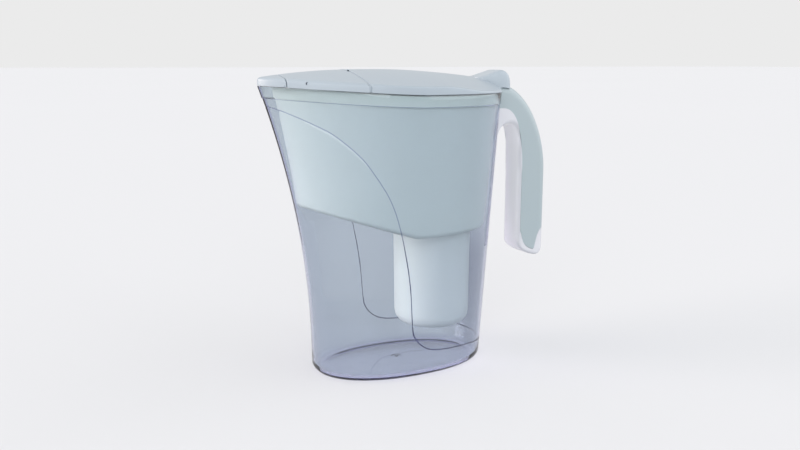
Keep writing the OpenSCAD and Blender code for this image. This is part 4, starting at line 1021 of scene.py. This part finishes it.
def grip_tip():
    """Rings from under the tip, round its lower edge, up to the cover's end and over into its middle."""
    def tip_ring(inset, share, lift, shrink=1):
        x, y = handle_section(inset).T
        mid = (INNER_X + HANDLE_X) / 2
        x, y = lerp(mid, x, shrink), y * shrink
        under, over = tip_height(x, TIP_UNDER) + lift, tip_height(x, COVER_END)
        return ring((x, y), lerp(under, over, share))

    rings = [tip_ring(TIP_EDGE_R, 0, 0, t) for t in (0.02, 0.3, 0.6, 0.85)]
    rings += [tip_ring(TIP_EDGE_R * back, 0, TIP_EDGE_H * up) for up, back in fillet(0, 90, 8)]
    rings += [tip_ring(0, t, TIP_EDGE_H) for t in (0.3, 0.65, 1)]
    rings += [tip_ring(COVER_T, 1, TIP_EDGE_H, t) for t in (1, 0.8, 0.4, 0.02)]
    return capped(rings)


def make_grip():
    piece("handle_grip_lining", [grip_lining(), grip_tip()], grip_rubber, "jug", "grip_plastic", ["handle_grip"])


make_jug()
make_reservoir()
make_lids()
make_thumb_rest()
make_cover()
make_grip()

# The solids that are shown as they are, and their materials
KEPT = {"filter_cup": cup_pp, "handle_frame": core_abs, "cartridge_shell": cartridge_pp, "cartridge_cap": cap_pp,
        "cartridge_seal": seal_silicone, "inlet_screen": screen_pp, "divider_screen": screen_pp,
        "outlet_screen": screen_pp, "resin_bed": resin, "carbon_bed": carbon, "pull_ring": cartridge_pp,
        "hinge_pin": pin_steel, "flap_pin": pin_acetal}
for name, material in KEPT.items():
    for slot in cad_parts[name].material_slots:
        slot.material = material

# ---- Studio ----
FLOOR_REACH, FLOOR_SUNK, FLOOR_GLOW = 60, -0.2, 0.36
# Wide, soft lamps: where each shines, its strength, colour and spread in degrees
LAMPS = {"key_light": ((1, -0.3, -0.26), 3.2, "#FFF0E8", 38),
         "front_light": ((0.42, 0.9, -0.25), 1.6, "#FFFFFF", 60),
         "fill_light": ((-0.85, 0.4, -0.35), 1.6, "#FFFFFF", 80)}


def make_floor():
    """A pale, matt floor that glows faintly, so that it runs out into the pale air."""
    paper = new_material("studio_pale_paper")
    grain = add(paper, "ShaderNodeTexNoise", {"Scale": 40, "Detail": 2})
    matt = add(paper, "ShaderNodeBsdfDiffuse", {"Color": blend(paper, grain.outputs["Fac"], "#A1A3A7", "#A3A5A9")})
    glow = add(paper, "ShaderNodeEmission", {"Color": linear("#FFFFFF"), "Strength": FLOOR_GLOW})
    lit = add(paper, "ShaderNodeAddShader", {0: matt.outputs["BSDF"], 1: glow.outputs["Emission"]})
    add(paper, "ShaderNodeOutputMaterial", {"Surface": lit.outputs["Shader"]})
    mesh = bpy.data.meshes.new("studio_floor")
    mesh.from_pydata([(x * FLOOR_REACH, y * FLOOR_REACH, FLOOR_SUNK * MM)
                      for x, y in ((-1, -1), (1, -1), (1, 1), (-1, 1))], [], [(0, 1, 2, 3)])
    mesh.materials.append(paper)
    floor = put("studio_floor", mesh)


def make_lights():
    """An even pale air all round, and three wide suns that model the form without hard shadows."""
    world = bpy.data.worlds.new("studio_air")
    bpy.context.scene.world = world
    world.use_nodes = True
    air = world.node_tree.nodes["Background"]
    air.inputs["Color"].default_value = linear("#EBEBEB")
    air.inputs["Strength"].default_value = 1
    for name, (shines, strength, colour, spread) in LAMPS.items():
        lamp = bpy.data.lights.new(name, "SUN")
        lamp.energy = strength
        lamp.color = linear(colour)[:3]
        lamp.angle = math.radians(spread)
        put(name, lamp).rotation_euler = Vector(shines).to_track_quat("-Z", "Y").to_euler()


make_floor()
make_lights()
bpy.context.scene.view_settings.view_transform = "Standard"
